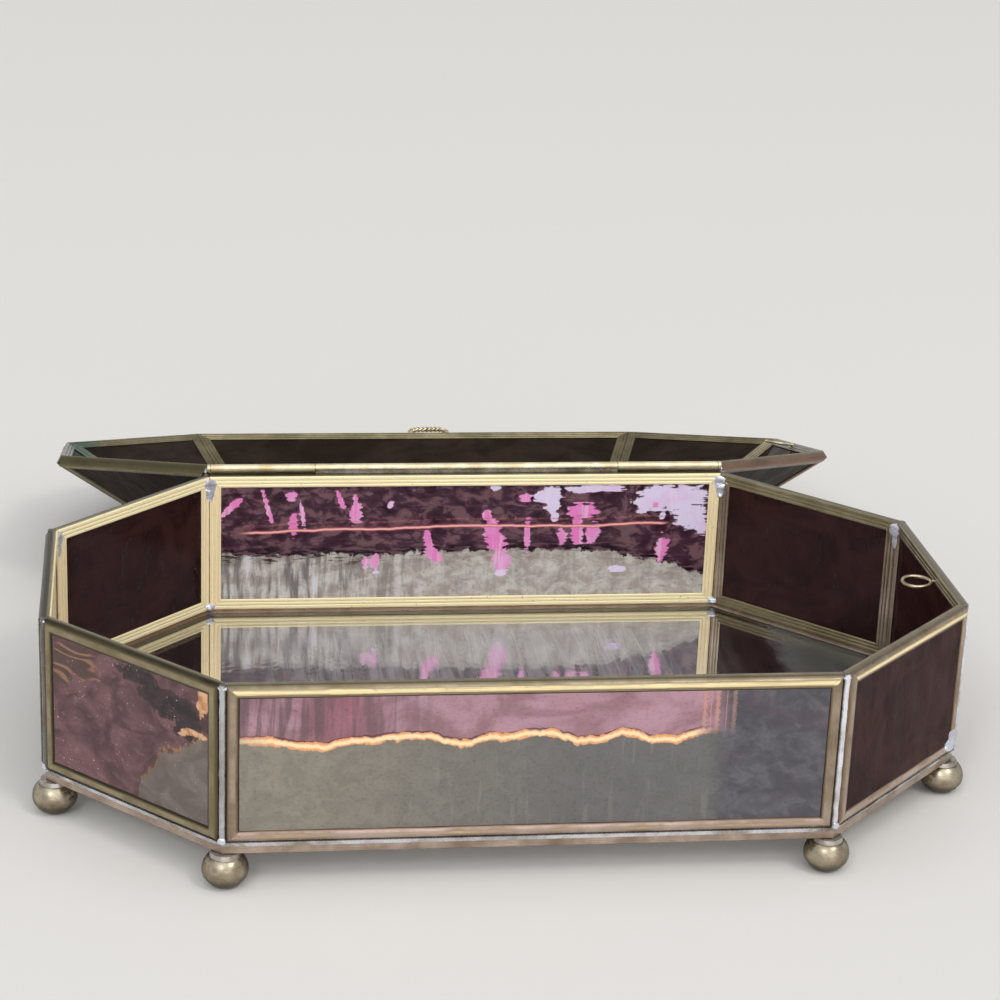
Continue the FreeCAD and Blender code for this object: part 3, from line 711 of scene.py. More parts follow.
def back_glass():
    """The back pane: amethyst painted with what is seen in it: a dark purple upper part, a milky foot
    standing for the floor seen through it, a painted shade band along the foot's ragged top, pink painted
    reflections in splashes and one long painted highlight line.

    The attribute brink is the height over the ragged top of the milky foot, another the height over the
    highlight line, another how far in a splash is, and pallor how far it goes from pink to lilac.
    """
    g = coat("amethyst_back")
    jag = g.uv_noise((0.42, 0.30), 3.0, 0.6, 0.4)
    slow = g.uv_noise((0.10, 0.16), 3.0, 0.6)
    teeth = g.uv_noise((0.16, 0.95), 2.0, 0.55)
    streak = g.uv_noise((0.40, 0.045), 4.0, 0.62, 0.5)
    smudge = g.uv_noise((0.17, 0.26), 5.0, 0.66, 0.4)
    wander = g.uv_noise((0.06, 0.0), 3.0, 0.6)
    ragged = g.add(g.swing(jag, 0.5), g.swing(teeth, 0.9))

    brink = g.add(g.attribute("brink"), g.swing(jag, 5.5))
    foot = g.fall(brink, -0.35, 0.35)
    # painted shade: a dark ragged band along the top of the foot
    shade_band = g.mul(g.fall(brink, 0.3, g.span(slow, 0.38, 0.58, 1.6, 6.5)), g.rest(foot))
    grain = g.uv_noise((0.9, 0.9), 3.0, 0.6)
    # painted reflection: the dark purple upper part with its smudges
    body = g.layers(
        g.mix(g.span(smudge, 0.46, 0.60), (0.135, 0.055, 0.092), (0.265, 0.140, 0.155)),
        (g.span(smudge, 0.44, 0.32), (0.080, 0.028, 0.050)),
        (g.span(teeth, 0.55, 0.70, 0.0, 0.8), (0.36, 0.15, 0.24)))
    streaky = g.attribute("streaky")
    reflected_dark_streaks = g.mul(g.span(brink, -4.5, -0.4), g.span(teeth, 0.53, 0.59))
    # painted view of the floor seen through the foot, with light and dark streaks
    painted_floor_view = g.layers(
        g.mix(g.span(smudge, 0.38, 0.62), (0.56, 0.46, 0.40), (0.84, 0.79, 0.71)),
        (g.span(grain, 0.50, 0.72, 0.0, 0.5), (0.34, 0.28, 0.25)),
        (g.mul(streaky, g.span(streak, 0.56, 0.36)), (0.24, 0.205, 0.205)),
        (g.mul(streaky, g.span(streak, 0.54, 0.68)), (0.93, 0.90, 0.94)),
        (g.mul(reflected_dark_streaks, streaky), (0.040, 0.028, 0.036)))
    body = g.mix(foot, body, painted_floor_view)
    hold = g.mixed(foot, g.span(smudge, 0.40, 0.60, 0.30, 0.65), 0.72)
    hold = g.mixed(shade_band, hold, 0.8)
    body = g.mix(shade_band, body, g.mix(g.span(teeth, 0.50, 0.56), (0.014, 0.006, 0.010),
                                   (0.17, 0.085, 0.11)))

    # painted reflections: pink and lilac splashes
    painted_splash = g.span(g.add(g.attribute("splash_reflection"), g.mul(ragged, 0.95)), 0.46, 0.54)
    pale = g.mix(g.add(g.attribute("pallor"), g.swing(slow, 1.2)),
                 (0.92, 0.25, 0.60), (0.86, 0.74, 0.96))
    pale = g.mix(g.span(streak, 0.5, 0.62, 0.0, 0.45), pale, (1.0, 0.78, 0.92))
    hold = g.mixed(painted_splash, hold, 0.95)
    body = g.mix(painted_splash, body, pale)

    # painted highlight: one bright line and a faint one above it
    glint_line = g.add(g.attribute("glint_line"), g.swing(wander, 2.2))
    faint = g.absolute(g.add(glint_line, -2.3))
    glint_line = g.absolute(glint_line)
    thin = g.mul(g.mul(g.span(faint, 0.08, 0.40, 0.75, 0.0), g.span(jag, 0.35, 0.55)),
                 g.attribute("glint_line_reach"))
    body = g.mix(thin, body, (0.70, 0.24, 0.27))
    painted_glow = g.mul(g.fall(glint_line, 0.30, 0.72), g.attribute("glint_line_reach"))
    core = g.fall(glint_line, 0.12, 0.42)
    hold = g.mixed(painted_glow, hold, 0.94)
    body = g.mix(painted_glow, body, g.mix(core, (0.70, 0.11, 0.13), (1.0, 0.58, 0.52)))
    return g.glassy(body, g.rest(hold, clamp=True))


def front_glass():
    """The front pane, all painted reflection: mauve over grey, parted by a golden line with a painted
    shadow along it, salmon strokes, and slate to the right.
    """
    g = coat("amethyst_front")
    cloud = g.uv_noise((0.05, 0.07), 4.0, 0.6, 0.8)
    reflected_folds = g.uv_noise((0.42, 0.045), 3.0, 0.6, 0.5)
    mottle = g.uv_noise((0.16, 0.20), 5.0, 0.65, 1.0)
    grain = g.uv_noise((1.1, 1.5), 3.0, 0.6)
    kinks = g.uv_noise((0.35, 0.05), 3.0, 0.6)
    gold_reflection = g.add(g.attribute("gold_reflection"), g.swing(kinks, 1.8))
    above = g.span(gold_reflection, -0.1, 0.4)

    # painted reflection: mauve above the golden line, grey below it
    mauve = g.layers(
        g.mix(g.span(cloud, 0.38, 0.60), (0.42, 0.225, 0.265), (0.62, 0.37, 0.44)),
        (g.attribute("crimson"), (0.38, 0.13, 0.175)),
        (g.mul(g.attribute("fold_reflection"), g.span(reflected_folds, 0.60, 0.38, 0.0, 0.85)), (0.20, 0.12, 0.135)))
    grey = g.layers(
        g.mix(g.attribute("cool"), (0.37, 0.33, 0.26), (0.205, 0.195, 0.19)),
        (g.span(mottle, 0.36, 0.64, 0.34, 0.0), (0.15, 0.14, 0.13)),
        (g.span(reflected_folds, 0.56, 0.68, 0.0, 0.25), (0.42, 0.38, 0.34)))
    # painted reflection: slate to the right
    slate = g.mix(g.span(mottle, 0.36, 0.74), (0.078, 0.074, 0.088), (0.150, 0.140, 0.160))
    slate = g.mix(g.span(cloud, 0.54, 0.64, 0.0, 0.6), slate, (0.105, 0.070, 0.095))
    body = g.layers(
        grey,
        (above, mauve),
        (g.attribute("slate"), slate),
        (g.span(grain, 0.52, 0.74, 0.0, 0.35), (0.06, 0.05, 0.055)))
    hold = g.mixed(g.attribute("slate"), g.mixed(above, 0.62, 0.60), 0.80)

    # painted shadow along the golden line, and the line itself, a painted reflection
    fade = g.attribute("lit")
    shadow = g.absolute(g.add(gold_reflection, -1.25))
    body = g.mix(g.mul(g.span(shadow, 0.10, 0.34, 0.9, 0.0), fade), body, (0.14, 0.045, 0.05))
    width = g.span(mottle, 0.35, 0.65, 0.6, 1.25)
    line = g.absolute(gold_reflection)
    painted_glow = g.mul(g.fall(line, width, g.add(width, 0.35)), fade)
    core = g.fall(g.add(line, g.swing(grain, 0.9)), 0.25, 0.85)
    body = g.mix(painted_glow, body, g.mix(core, (0.78, 0.36, 0.16), (1.0, 0.74, 0.42)))
    hold = g.mixed(painted_glow, hold, 0.95)
    # painted reflection: salmon strokes of the uprights
    squiggle = g.absolute(g.add(g.attribute("squiggle"), g.swing(grain, 2.4)))
    squiggle = g.mul(g.fall(squiggle, 0.30, 0.70), g.attribute("stripe"))
    body = g.mix(g.mul(squiggle, 0.7), body, (0.80, 0.42, 0.33))
    return g.glassy(body, g.rest(hold, clamp=True))


def corner_glass():
    """The front left pane, all painted reflection: mauve with a dark patch, amber curls and glints, pale
    painted highlights and a ragged grey foot with an amber edge.
    """
    g = coat("amethyst_corner")
    cloud = g.uv_noise((0.09, 0.11), 4.0, 0.6, 0.8)
    jag = g.uv_noise((0.40, 0.12), 4.0, 0.65, 0.5)
    mottle = g.uv_noise((0.22, 0.35), 4.0, 0.6)
    specks = g.uv_noise((1.5, 1.1), 2.0, 0.7)
    swirl = g.uv_noise((0.05, 0.13), 1.0, 0.5, 1.2)
    ragged = g.mul(g.add(g.add(jag, mottle), -1.0), 0.75)
    # painted reflection: mauve body, amber curls and a dark patch
    body = g.mix(g.span(cloud, 0.36, 0.64), (0.090, 0.034, 0.041), (0.225, 0.100, 0.110))
    body = g.mix(g.span(mottle, 0.56, 0.70, 0.0, 0.4), body, (0.40, 0.22, 0.225))
    rings = g.math("SINE", g.add(g.mul(swirl, 20.0), g.mul(g.part(g.uv(), "Y"), 1.9)))
    amber = g.mix(g.span(rings, 0.1, 0.9), (0.10, 0.050, 0.04), (0.40, 0.20, 0.105))
    body = g.layers(
        body,
        (g.mul(g.span(g.add(g.attribute("curl"), ragged), 0.42, 0.58), 0.9), amber),
        (g.span(g.add(g.attribute("dark_reflection"), ragged), 0.44, 0.56),
         g.mix(g.span(mottle, 0.4, 0.6), (0.016, 0.006, 0.009), (0.055, 0.022, 0.027))))
    # painted reflection: a ragged grey foot
    brink = g.add(g.attribute("brink"), g.swing(jag, 9.0))
    foot = g.fall(brink, -0.3, 0.3)
    grey = g.mix(g.span(cloud, 0.36, 0.64), (0.19, 0.145, 0.125), (0.285, 0.235, 0.205))
    body = g.mix(foot, body, grey)
    rim = g.absolute(g.add(brink, -0.5))
    # painted reflection: the foot's amber edge, amber glints and pale painted highlights
    body = g.layers(
        body,
        (g.span(rim, 0.2, 0.9, 0.9, 0.0),
         g.mix(g.span(mottle, 0.45, 0.6), (0.12, 0.055, 0.03), (0.42, 0.21, 0.09))),
        (g.span(g.add(g.attribute("glint"), ragged), 0.46, 0.56),
         g.mix(g.span(mottle, 0.4, 0.62), (0.62, 0.25, 0.10), (0.95, 0.58, 0.33))),
        (g.mul(g.span(specks, 0.66, 0.71), g.span(cloud, 0.48, 0.56)), (0.95, 0.88, 0.92)))
    return g.glassy(body, g.mixed(foot, 0.30, 0.45))


def mirror_faces():
    """Clear glass above and silver under it.

    The pale bloom and the olive film stand for what the mirror reflects in the photo.
    """
    g = coat("mirror_glass")
    dust = g.uv_noise((0.6, 0.6), 4.0, 0.6)
    clear = g.shade(Base_Color=g.mix(g.span(dust, 0.4, 0.8), (0.97, 0.98, 0.97),
                                     (0.90, 0.91, 0.90)),
                    Roughness=g.span(dust, 0.5, 0.8, 0.0, 0.03), IOR=GLASS_IOR,
                    Transmission_Weight=1.0)
    g = coat("mirror_silver")
    wear = g.uv_noise((0.035, 0.035), 5.0, 0.6)
    spots = g.uv_noise((0.5, 0.5), 3.0, 0.6)
    colour = g.mix(g.span(wear, 0.62, 0.8, 0.0, 0.35), (0.86, 0.85, 0.86), (0.50, 0.46, 0.44))
    colour = g.mix(g.span(spots, 0.70, 0.76, 0.0, 0.5), colour, (0.28, 0.24, 0.22))
    streak = g.place_noise((330, 22, 1), 4.0, 0.6, 0.4)
    bloom = g.mul(g.span(g.absolute(g.along("X")), 0.088, 0.040),
                  g.span(streak, 0.36, 0.62, 0.14, 0.46))
    bloom = g.mul(bloom, g.span(g.along("Y"), -0.012, -0.022))
    reach = g.add(g.along("X"), g.swing(wear, 0.05))
    film = g.mul(g.span(reach, 0.088, 0.103), g.span(wear, 0.3, 0.6, 0.45, 0.70))
    colour = g.layers(colour, (bloom, (0.93, 0.90, 0.93)), (film, (0.085, 0.072, 0.036)))
    return [clear, g.shade(Base_Color=colour, Roughness=0.015,
                           Metallic=g.math("SUBTRACT", g.rest(film), bloom))]


BRASS, BALL, TUBE, WIRE = brass_came(), brass_ball(), brass_tube(), wire()
# the blue-white of the bright solder colours is partly a painted highlight
SOLDER = solder("solder", (0.80, 0.81, 0.86), (0.34, 0.29, 0.23))
BEAD = solder("solder_bead", (0.86, 0.88, 0.95), (0.50, 0.47, 0.45), bead=True)
DAB = solder("solder_dab", (0.72, 0.77, 0.88), (0.46, 0.44, 0.48), metal=0.5, lumpy=0.16)
DULL_SOLDER = solder("solder_dull", (0.46, 0.42, 0.38), (0.17, 0.14, 0.11))

# how dark the brass of each frame is inside and outside, from age and painted shade, and how coppery
# outside; the right-hand frames' insides and the left-hand frames' outsides are darker by painted shade
TRAY_BRASS = {
    "front": (0.25, 0.74, 0.25), "front_right": (0.45, 0.74, 0.40), "right": (0.62, 0.78, 0.6),
    "back_right": (0.46, 0.90, 0.2), "back": (-0.10, 0.80, 0.1), "back_left": (-0.10, 0.90, 0.0),
    "left": (-0.10, 1.22, 0.0), "front_left": (0.20, 1.10, 0.1),
}
LID_BRASS = {
    "front": (0.56, 0.88, 0.0), "front_right": (0.56, 0.88, 0.2), "right": (0.60, 0.98, 1.0),
    "back_right": (0.60, 0.98, 1.0), "back": (0.54, 0.80, 0.1), "back_left": (0.62, 0.96, 0.0),
    "left": (0.62, 0.98, 0.0), "front_left": (0.60, 0.96, 0.0),
}


def brass_labels(brass, crown_highlight, foot=0.0, painted_glow=0.0):
    """The first is how bright the painted highlight on the crown is, foot how much pinker the bottom
    strip is and how much brighter by a painted highlight, and the last how strong the painted orange glow
    on the uprights inside is.
    """
    inner, outer, blush = brass
    return {"age_and_light": came_age_and_light(inner, outer, foot, crown_highlight), "blush": blush_of(blush, foot, painted_glow)}


def paint(material, *nodes):
    """Pieces that keep their CAD shape and get a material."""
    for item in nodes:
        frame["nodes"][item].data.materials.clear()
        frame["nodes"][item].data.materials.append(material)


# ---------------------------------------------------------------- frames and panes

# the strip's cross-section: how far in from the pane's edge, and height through it
CAME_CREST, CAME_SHOULDER, CAME_LIP = 1.65, 1.8, 2.93
BEADS, BEAD_DEPTH = (3.40, 2.38, 1.30, 0.0), 0.25


def came_outline():
    """A half-round outside that drops to the pane, and three drawn beads inside."""
    points = [(1.0, 0.50), (3.34, 0.50)]
    for start, end in zip(BEADS, BEADS[1:]):
        for i in range(8):
            share = i / 8
            points.append((start + (end - start) * share,
                           BEAD_DEPTH * (1 - math.sin(math.pi * share) ** 0.55)))
    points += [(0.0, BEAD_DEPTH), (0.0, 0.8)]
    outer_edge, inner_edge = [], []
    for i in range(9):
        a = math.pi / 2 * i / 8
        outer_edge.append((CAME_CREST * (1 - math.cos(a)),
                           CAME_SHOULDER + (CAME_T - CAME_SHOULDER) * math.sin(a)))
        inner_edge.append((CAME_CREST + (CAME_W - CAME_CREST) * i / 8,
                           CAME_T - (CAME_T - CAME_LIP) * (i / 8) ** 2))
    return points + outer_edge + inner_edge[1:] + [(1.0, CAME_LIP)]


CAME = came_outline()


def came_age_and_light(inner, outer, foot, crown_highlight):
    """How dark the strip is: darker in its grooves, with painted shade towards its edges and a painted
    highlight along the outer crown.

    Where there is a foot, the bottom strip is brighter by it and the left upright darker, both painted
    light, and they and the right upright get a weaker painted highlight than the top.
    """
    def age_and_light(d, z, side):
        share = min(max((z - 0.35) / 1.2, 0.0), 1.0)
        groove = min(max((z - 0.12) / 0.20, 0.0), 1.0)
        # painted shade: darker towards both edges of the outer face, most at the lip
        edge = (d - CAME_CREST) / (CAME_W - CAME_CREST)
        edge = min(edge, 1.0) ** 2 if edge > 0 else 0.35 * min(-edge, 1.0) ** 2
        inside = inner + 0.25 * groove
        # painted highlight along the crown
        crown = outer - crown_highlight * math.exp(-((d - CAME_CREST - 0.1) / 1.0) ** 2)
        # with a foot: a painted highlight on the bottom strip and painted shade on the left upright
        if foot:
            crown = outer - (outer - crown) * (0.4, 0.4, 1.0, 0.4)[side]
            crown += (-foot, 0.0, 0.0, foot)[side]
        crown += 0.35 * edge + 0.75 * edge ** 4
        return inside + (crown - inside) * share * share * (3 - 2 * share)
    return age_and_light


def blush_of(amount, foot, painted_glow):
    """How coppery the strip is, and inside, how strong the painted orange glow on its uprights is."""
    def blush(d, z, side):
        if z <= 1.0:
            return 0.3 * amount + (painted_glow if side % 2 else 0.0)
        return min(1.0, amount + foot * (6.0, 3.0, 0.0, 3.0)[side % 4])
    return blush


def ripples(seed, long=(16.0, 14.0, 0.05), short=(6.0, 8.0, 0.006)):
    """Waves of rolled glass: each sort has its reach along and up the pane, and its height."""
    def ripple(x, y, side):
        height = 0.0
        for number, (wide, tall, size) in enumerate((long, short)):
            height += size * noise.noise(Vector((x / wide + seed * 3.1 + number * 5.0,
                                                 y / tall + side * 11.7, seed + number)))
        return height
    return ripple


def ellipse(x, y, cx, cy, rx, ry, lean):
    """1 in the middle of a leaning patch, 0.5 at its edge and down to 0 outside it."""
    dx = x - cx - lean * (y - cy)
    d = math.hypot(dx / rx, (y - cy) / ry)
    return max(0.0, 1.0 - 0.5 * d)


# The tables of places below, down to CURLS, stand for what the panes reflect in the photo, drawn here in
# the glass. They were read off the photo by eye as pixels, which a scratch program turned into
# millimetres along and up the pane. The back pane's foot and highlight lines and the front pane's golden
# line are mostly those millimetres as they came, and so is half of SPLASHES. The rest was then changed
# one by one.
# splashes in the back pane: middle x and y, half width, half height, lean, pallor
SPLASHES = [
    (72.0, 33.2, 1.5, 3.6, -0.92, 0.0), (61.1, 33.2, 0.8, 5.5, 0.27, 0.0),
    (53.9, 37.0, 1.8, 1.6, 0.0, 0.1), (53.2, 27.9, 1.4, 4.1, 0.0, 0.0),
    (50.4, 30.3, 0.7, 4.6, 0.15, 0.3), (38.9, 35.3, 0.9, 3.6, 0.35, 0.0),
    (34.2, 30.6, 1.9, 4.2, 0.0, 0.0), (34.4, 34.8, 0.9, 2.6, 0.0, 0.0),
    (23.6, 33.8, 1.0, 1.2, -0.4, 0.5), (31.1, 14.8, 0.9, 2.1, 0.0, 0.2),
    (28.3, 15.1, 1.4, 2.6, -0.1, 0.2), (27.7, 11.8, 1.2, 0.7, 0.0, 1.0),
    (9.9, 17.0, 2.5, 2.8, 0.3, 0.0), (11.6, 21.5, 1.3, 4.0, 0.2, 0.0),
    (-6.3, 29.8, 1.5, 2.2, 0.0, 0.0), (-8.9, 22.5, 2.9, 6.0, 0.3, 0.0),
    (-11.2, 15.6, 2.9, 3.6, 0.2, 0.15), (-11.4, 11.0, 1.9, 1.1, 0.0, 1.0),
    (-17.8, 35.5, 1.9, 1.5, 0.0, 0.1), (-18.9, 23.6, 0.95, 5.6, 0.0, 0.1),
    (-25.3, 36.3, 4.4, 2.8, 0.0, 1.0), (-26.6, 32.9, 2.4, 2.2, 0.0, 1.0),
    (-27.2, 29.0, 1.2, 1.3, 0.0, 1.0), (-38.7, 38.4, 8.8, 1.3, 0.0, 0.9),
    (-35.7, 31.4, 4.6, 2.6, 0.0, 0.0), (-34.5, 25.0, 1.9, 5.0, 0.0, 0.0),
    (-39.3, 23.8, 2.3, 3.4, -0.15, 0.1), (-29.8, 22.9, 1.4, 2.5, 0.0, 0.2),
    (-64.4, 35.4, 11.5, 4.4, 0.0, 1.0), (-70.0, 29.0, 5.2, 4.2, 0.0, 1.0),
    (-73.6, 25.4, 2.3, 2.6, 0.0, 1.0), (-54.6, 33.4, 2.4, 3.4, 0.0, 1.0),
    (-59.0, 33.1, 1.5, 1.3, 0.0, 0.0), (-61.4, 18.7, 2.1, 3.7, -0.1, 0.05),
    (-47.4, 11.9, 3.2, 1.0, 0.0, 1.0), (-8.6, 38.9, 1.6, 0.8, 0.0, 1.0),
    (-61.0, 29.2, 1.0, 1.1, 0.0, 1.0),
]
# the top of the milky foot and the painted highlight line, as x and y along the pane
BRINK = [(-80, 7.0), (-75.5, 9.7), (-71.6, 10.8), (-63.5, 14.2), (-54.5, 15.4), (-44.9, 17.8),
         (-24.1, 18.6), (17.6, 18.0), (33.0, 17.1), (43.1, 18.0), (63.3, 17.4), (80, 18.5)]
GLINT_LINE = [(-80, 27.2), (-62.0, 27.1), (-54.8, 27.0), (-34.1, 26.2), (-1.0, 26.7), (17.8, 26.2),
          (53.3, 25.5), (69.4, 24.8), (80, 24.6)]


def above(points):
    """How far a place is over a broken line."""
    def height(x, y):
        for (x0, y0), (x1, y1) in zip(points, points[1:]):
            if x <= x1:
                return y - (y0 + (y1 - y0) * (x - x0) / (x1 - x0))
        return y - points[-1][1]
    return height


def patch_of(patches):
    """How far in a place is in the nearest of some leaning patches."""
    return lambda x, y: max(ellipse(x, y, *patch[:5]) for patch in patches)


def back_pallor(x, y):
    return max(SPLASHES, key=lambda painted_splash: ellipse(x, y, *painted_splash[:5]))[5]


def ramp(value, low, high):
    return min(max((value - low) / (high - low), 0.0), 1.0)


def constant(number):
    return lambda *place: number


BACK_VALUES = {
    "splash_reflection": patch_of(SPLASHES), "pallor": back_pallor,
    "brink": above(BRINK), "glint_line": above(GLINT_LINE),
    "glint_line_reach": lambda x, y: ramp(x, -63.5, -61.0) * ramp(x, 70.0, 66.0),
    "streaky": lambda x, y: 0.25 + 0.75 * ramp(x, 8, 45),
}
PLAIN = {"shade": constant(0.4), "milk": constant(1.0)}
# the front pane's golden painted reflection line, and the front left pane's foot, then its dark, bright
# and amber patches, all painted reflection
GOLD_REFLECTION_LINE = [(-80, 28.6), (-67.4, 28.1), (-60.6, 26.8), (-54.5, 26.2), (-47.1, 27.6), (-40.3, 28.1),
         (-33.5, 28.7), (-28.1, 28.9), (-22.6, 26.9), (-17.0, 26.4), (-13.7, 28.0), (-7.5, 28.0),
         (-0.6, 29.0), (4.9, 28.7), (10.6, 26.4), (16.1, 26.8), (21.6, 28.5), (25.1, 28.6),
         (28.7, 26.6), (35.7, 26.5), (41.2, 28.4), (80, 28.4)]
CORNER_BRINK = [(-32, -14.0), (1.0, -10.0), (4.0, 8.5), (9.0, 13.5), (11.1, 18.5), (18.1, 22.0),
                (27.2, 28.3), (32, 29.0)]
DARK_REFLECTIONS = [(3.0, 37.6, 7.0, 2.2, 0.0), (12.0, 33.0, 8.0, 4.6, -0.8), (20.0, 31.0, 5.0, 5.0, -0.3),
         (19.5, 27.5, 4.0, 2.4, 0.0)]
GLINTS = [(26.0, 37.0, 1.9, 4.6, 0.0), (23.0, 27.6, 4.4, 0.9, 0.0), (18.8, 26.2, 1.4, 0.8, 0.0)]
CURLS = [(-19.0, 35.0, 8.0, 5.0, 0.0), (-23.5, 31.0, 4.0, 4.0, 0.0)]


FRONT_VALUES = {
    "gold_reflection": above(GOLD_REFLECTION_LINE), "slate": lambda x, y: ramp(x, 44, 50),
    "cool": lambda x, y: ramp(x, -60, 10), "fold_reflection": lambda x, y: ramp(x, -20, -48),
    "crimson": lambda x, y: ramp(x, -62, -56) * ramp(x, -36, -48) * 0.7,
    "lit": lambda x, y: ramp(x, 46, 40) * (1 - 0.45 * ramp(x, -66, -76)),
    "squiggle": lambda x, y: min((x - at for at in (42.8, 46.0, 50.4)), key=abs),
    "stripe": lambda x, y: ramp(y, 27, 31) * (1.0 if x < 48 else 0.45),
}
CORNER_VALUES = {
    "brink": above(CORNER_BRINK), "dark_reflection": patch_of(DARK_REFLECTIONS),
    "glint": patch_of(GLINTS), "curl": patch_of(CURLS),
}

BACK_GLASS = back_glass()
FRONT_GLASS = front_glass()
CORNER_GLASS = corner_glass()
# painted light: the mauve haze of ROSE is a painted reflection, and the near-black tint and haze of PLUM
# and SMOKE are painted shade
ROSE = glass("amethyst_rose", (0.58, 0.47, 0.44), (0.42, 0.30, 0.31), 0.55,
             (0.20, 0.085, 0.10))
PLUM = glass("amethyst_plum", (0.13, 0.065, 0.07), (0.05, 0.022, 0.026), 0.88,
             (0.052, 0.020, 0.019), shine=0.010)
SMOKE = glass("amethyst_smoke", (0.12, 0.085, 0.07), (0.06, 0.045, 0.04), 0.92,
              (0.040, 0.027, 0.020), shine=0.002)
GENTLE = {"long": (11.0, 11.0, 0.085), "short": (4.5, 6.0, 0.010)}
LIVELY = {"long": (9.0, 14.0, 0.055), "short": (4.0, 7.0, 0.020)}
TRAY_GLASS = {
    "front": (FRONT_GLASS, FRONT_VALUES, GENTLE), "front_right": (PLUM, PLAIN, GENTLE),
    "right": (PLUM, PLAIN, GENTLE), "back_right": (PLUM, PLAIN, GENTLE),
    "back": (BACK_GLASS, BACK_VALUES, LIVELY), "back_left": (PLUM, PLAIN, GENTLE),
    "left": (ROSE, PLAIN, LIVELY), "front_left": (CORNER_GLASS, CORNER_VALUES, LIVELY),
}

def panel(stem, corners, seed, labels, place, body, material, waves, step, values=PLAIN):
    """A strip frame and the pane in it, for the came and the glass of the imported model."""
    add(f"{stem}_frame", frame_mesh(corners, CAME, seed, labels), place, BRASS, body,
        "brass_came", [f"{stem}_came"])
    add(f"{stem}_pane", sheet_mesh(corners, waves, step, values), place, material, body,
        "wavy_glass", [f"{stem}_glass"])


# how strong the painted highlight along the crowns is, how much pinker the tray's bottom strips are
# outside, and brighter by a painted highlight, and how strong the painted orange glow on its uprights is
# inside
TRAY_CROWN_HIGHLIGHT, LID_CROWN_HIGHLIGHT, TRAY_FOOT, TRAY_PAINTED_GLOW = 0.62, 0.28, 0.12, 0.6
# the spacing of the points that bend each sheet of glass
WALL_STEP, SLOPE_STEP, TOP_STEP, MIRROR_STEP = 0.8, 1.6, 1.8, 8.0

for number, (name, kind, yaw) in enumerate(WALLS):
    length = LENGTHS[kind] - 2 * CAME_T * MITRE
    foot = 0.0 if "left" in name else TRAY_FOOT
    material, values, waves = TRAY_GLASS[name]
    panel(f"{name}_wall", pane_corners(length, length, WALL_H), number + 1,
          brass_labels(TRAY_BRASS[name], TRAY_CROWN_HIGHLIGHT, foot, TRAY_PAINTED_GLOW), wall_place(kind, yaw),
          "tray", material, ripples(number + 0.5, **waves), WALL_STEP, values)

    base = LENGTHS[kind] - 2 * LID_SETBACK * MITRE
    top = LENGTHS[kind] - 2 * TOP_INSET * MITRE
    panel(f"{name}_lid", pane_corners(base, top, LID_RISE), number + 21,
          brass_labels(LID_BRASS[name], LID_CROWN_HIGHLIGHT), lid_place(kind, yaw),
          "lid", SMOKE, ripples(number + 20.5), SLOPE_STEP)

corners = octagon(FLOOR_SETBACK)
place = TRAY @ move(0, 0, FOOT_H)
# how dark the floor's strip is on each side, from the front anticlockwise
FLOOR_DARKNESS = (0.62, 0.7, 0.7, 0.7, 0.8, 0.92, 0.88, 0.50)
add("floor_frame", frame_mesh(corners, CAME, 41, {"age_and_light": lambda d, z, side: FLOOR_DARKNESS[side],
                                                  "blush": constant(0.85)}),
    place, BRASS, "tray", "brass_came", ["floor_came"])
mirror = add("floor_mirror_pane", sheet_mesh(corners, constant(0.0), MIRROR_STEP, {}), place,
             mirror_faces(), "tray", "mirror_glass", ["floor_mirror"])
for polygon in mirror.data.polygons:
    if polygon.normal.z < -0.5:
        polygon.material_index = 1

panel("top_lid", octagon(TOP_INSET), 42, brass_labels((0.70, 0.85, 0.1), LID_CROWN_HIGHLIGHT),
      LID @ move(0, 0, TOP_Z), "lid", SMOKE, ripples(42.5), TOP_STEP)

# ---------------------------------------------------------------- solder

HIP_SLOPE = math.atan(math.tan(LID_SLOPE) * math.cos(HALF_TURN))
HIP_LENGTH = LID_RISE * math.sin(LID_SLOPE) / math.sin(HIP_SLOPE)
HIP_HALF = math.asin(math.sin(LID_SLOPE) * math.sin(HALF_TURN))
HIP_LUMP, TOP_LUMP = 0.1, 0.08
walls, hips, tops = [], [], []
for index in range(8):
    x, y, yaw = corner_point(index, CAME_T)
    walls.append((wedge_mesh(WALL_H, HALF_TURN, index),
                  TRAY @ move(x, y, FLOOR_Z) @ turn(yaw, "Z")))
    x, y, yaw = corner_point(index, LID_SETBACK)
    hips.append((wedge_mesh(HIP_LENGTH, HIP_HALF, index + 10, HIP_LUMP),
                 LID @ move(x, y, LID_Z) @ turn(yaw, "Z")
                 @ Matrix.Rotation(HIP_SLOPE - math.pi / 2, 4, "X")))
for number, (name, kind, yaw) in enumerate(WALLS):
    length = LENGTHS[kind] - 2 * TOP_INSET * MITRE
    x, y = wall_middle(kind, yaw, TOP_INSET)
    a = math.radians(yaw)
    place = (LID @ move(x - length / 2 * math.cos(a), y - length / 2 * math.sin(a), TOP_Z)
             @ turn(yaw, "Z"))
    tops.append((wedge_mesh(length, LID_SLOPE / 2, number + 30, TOP_LUMP),
                 place @ Matrix.Rotation(LID_SLOPE / 2 - math.pi / 2, 4, "X") @ turn(90, "Y")))
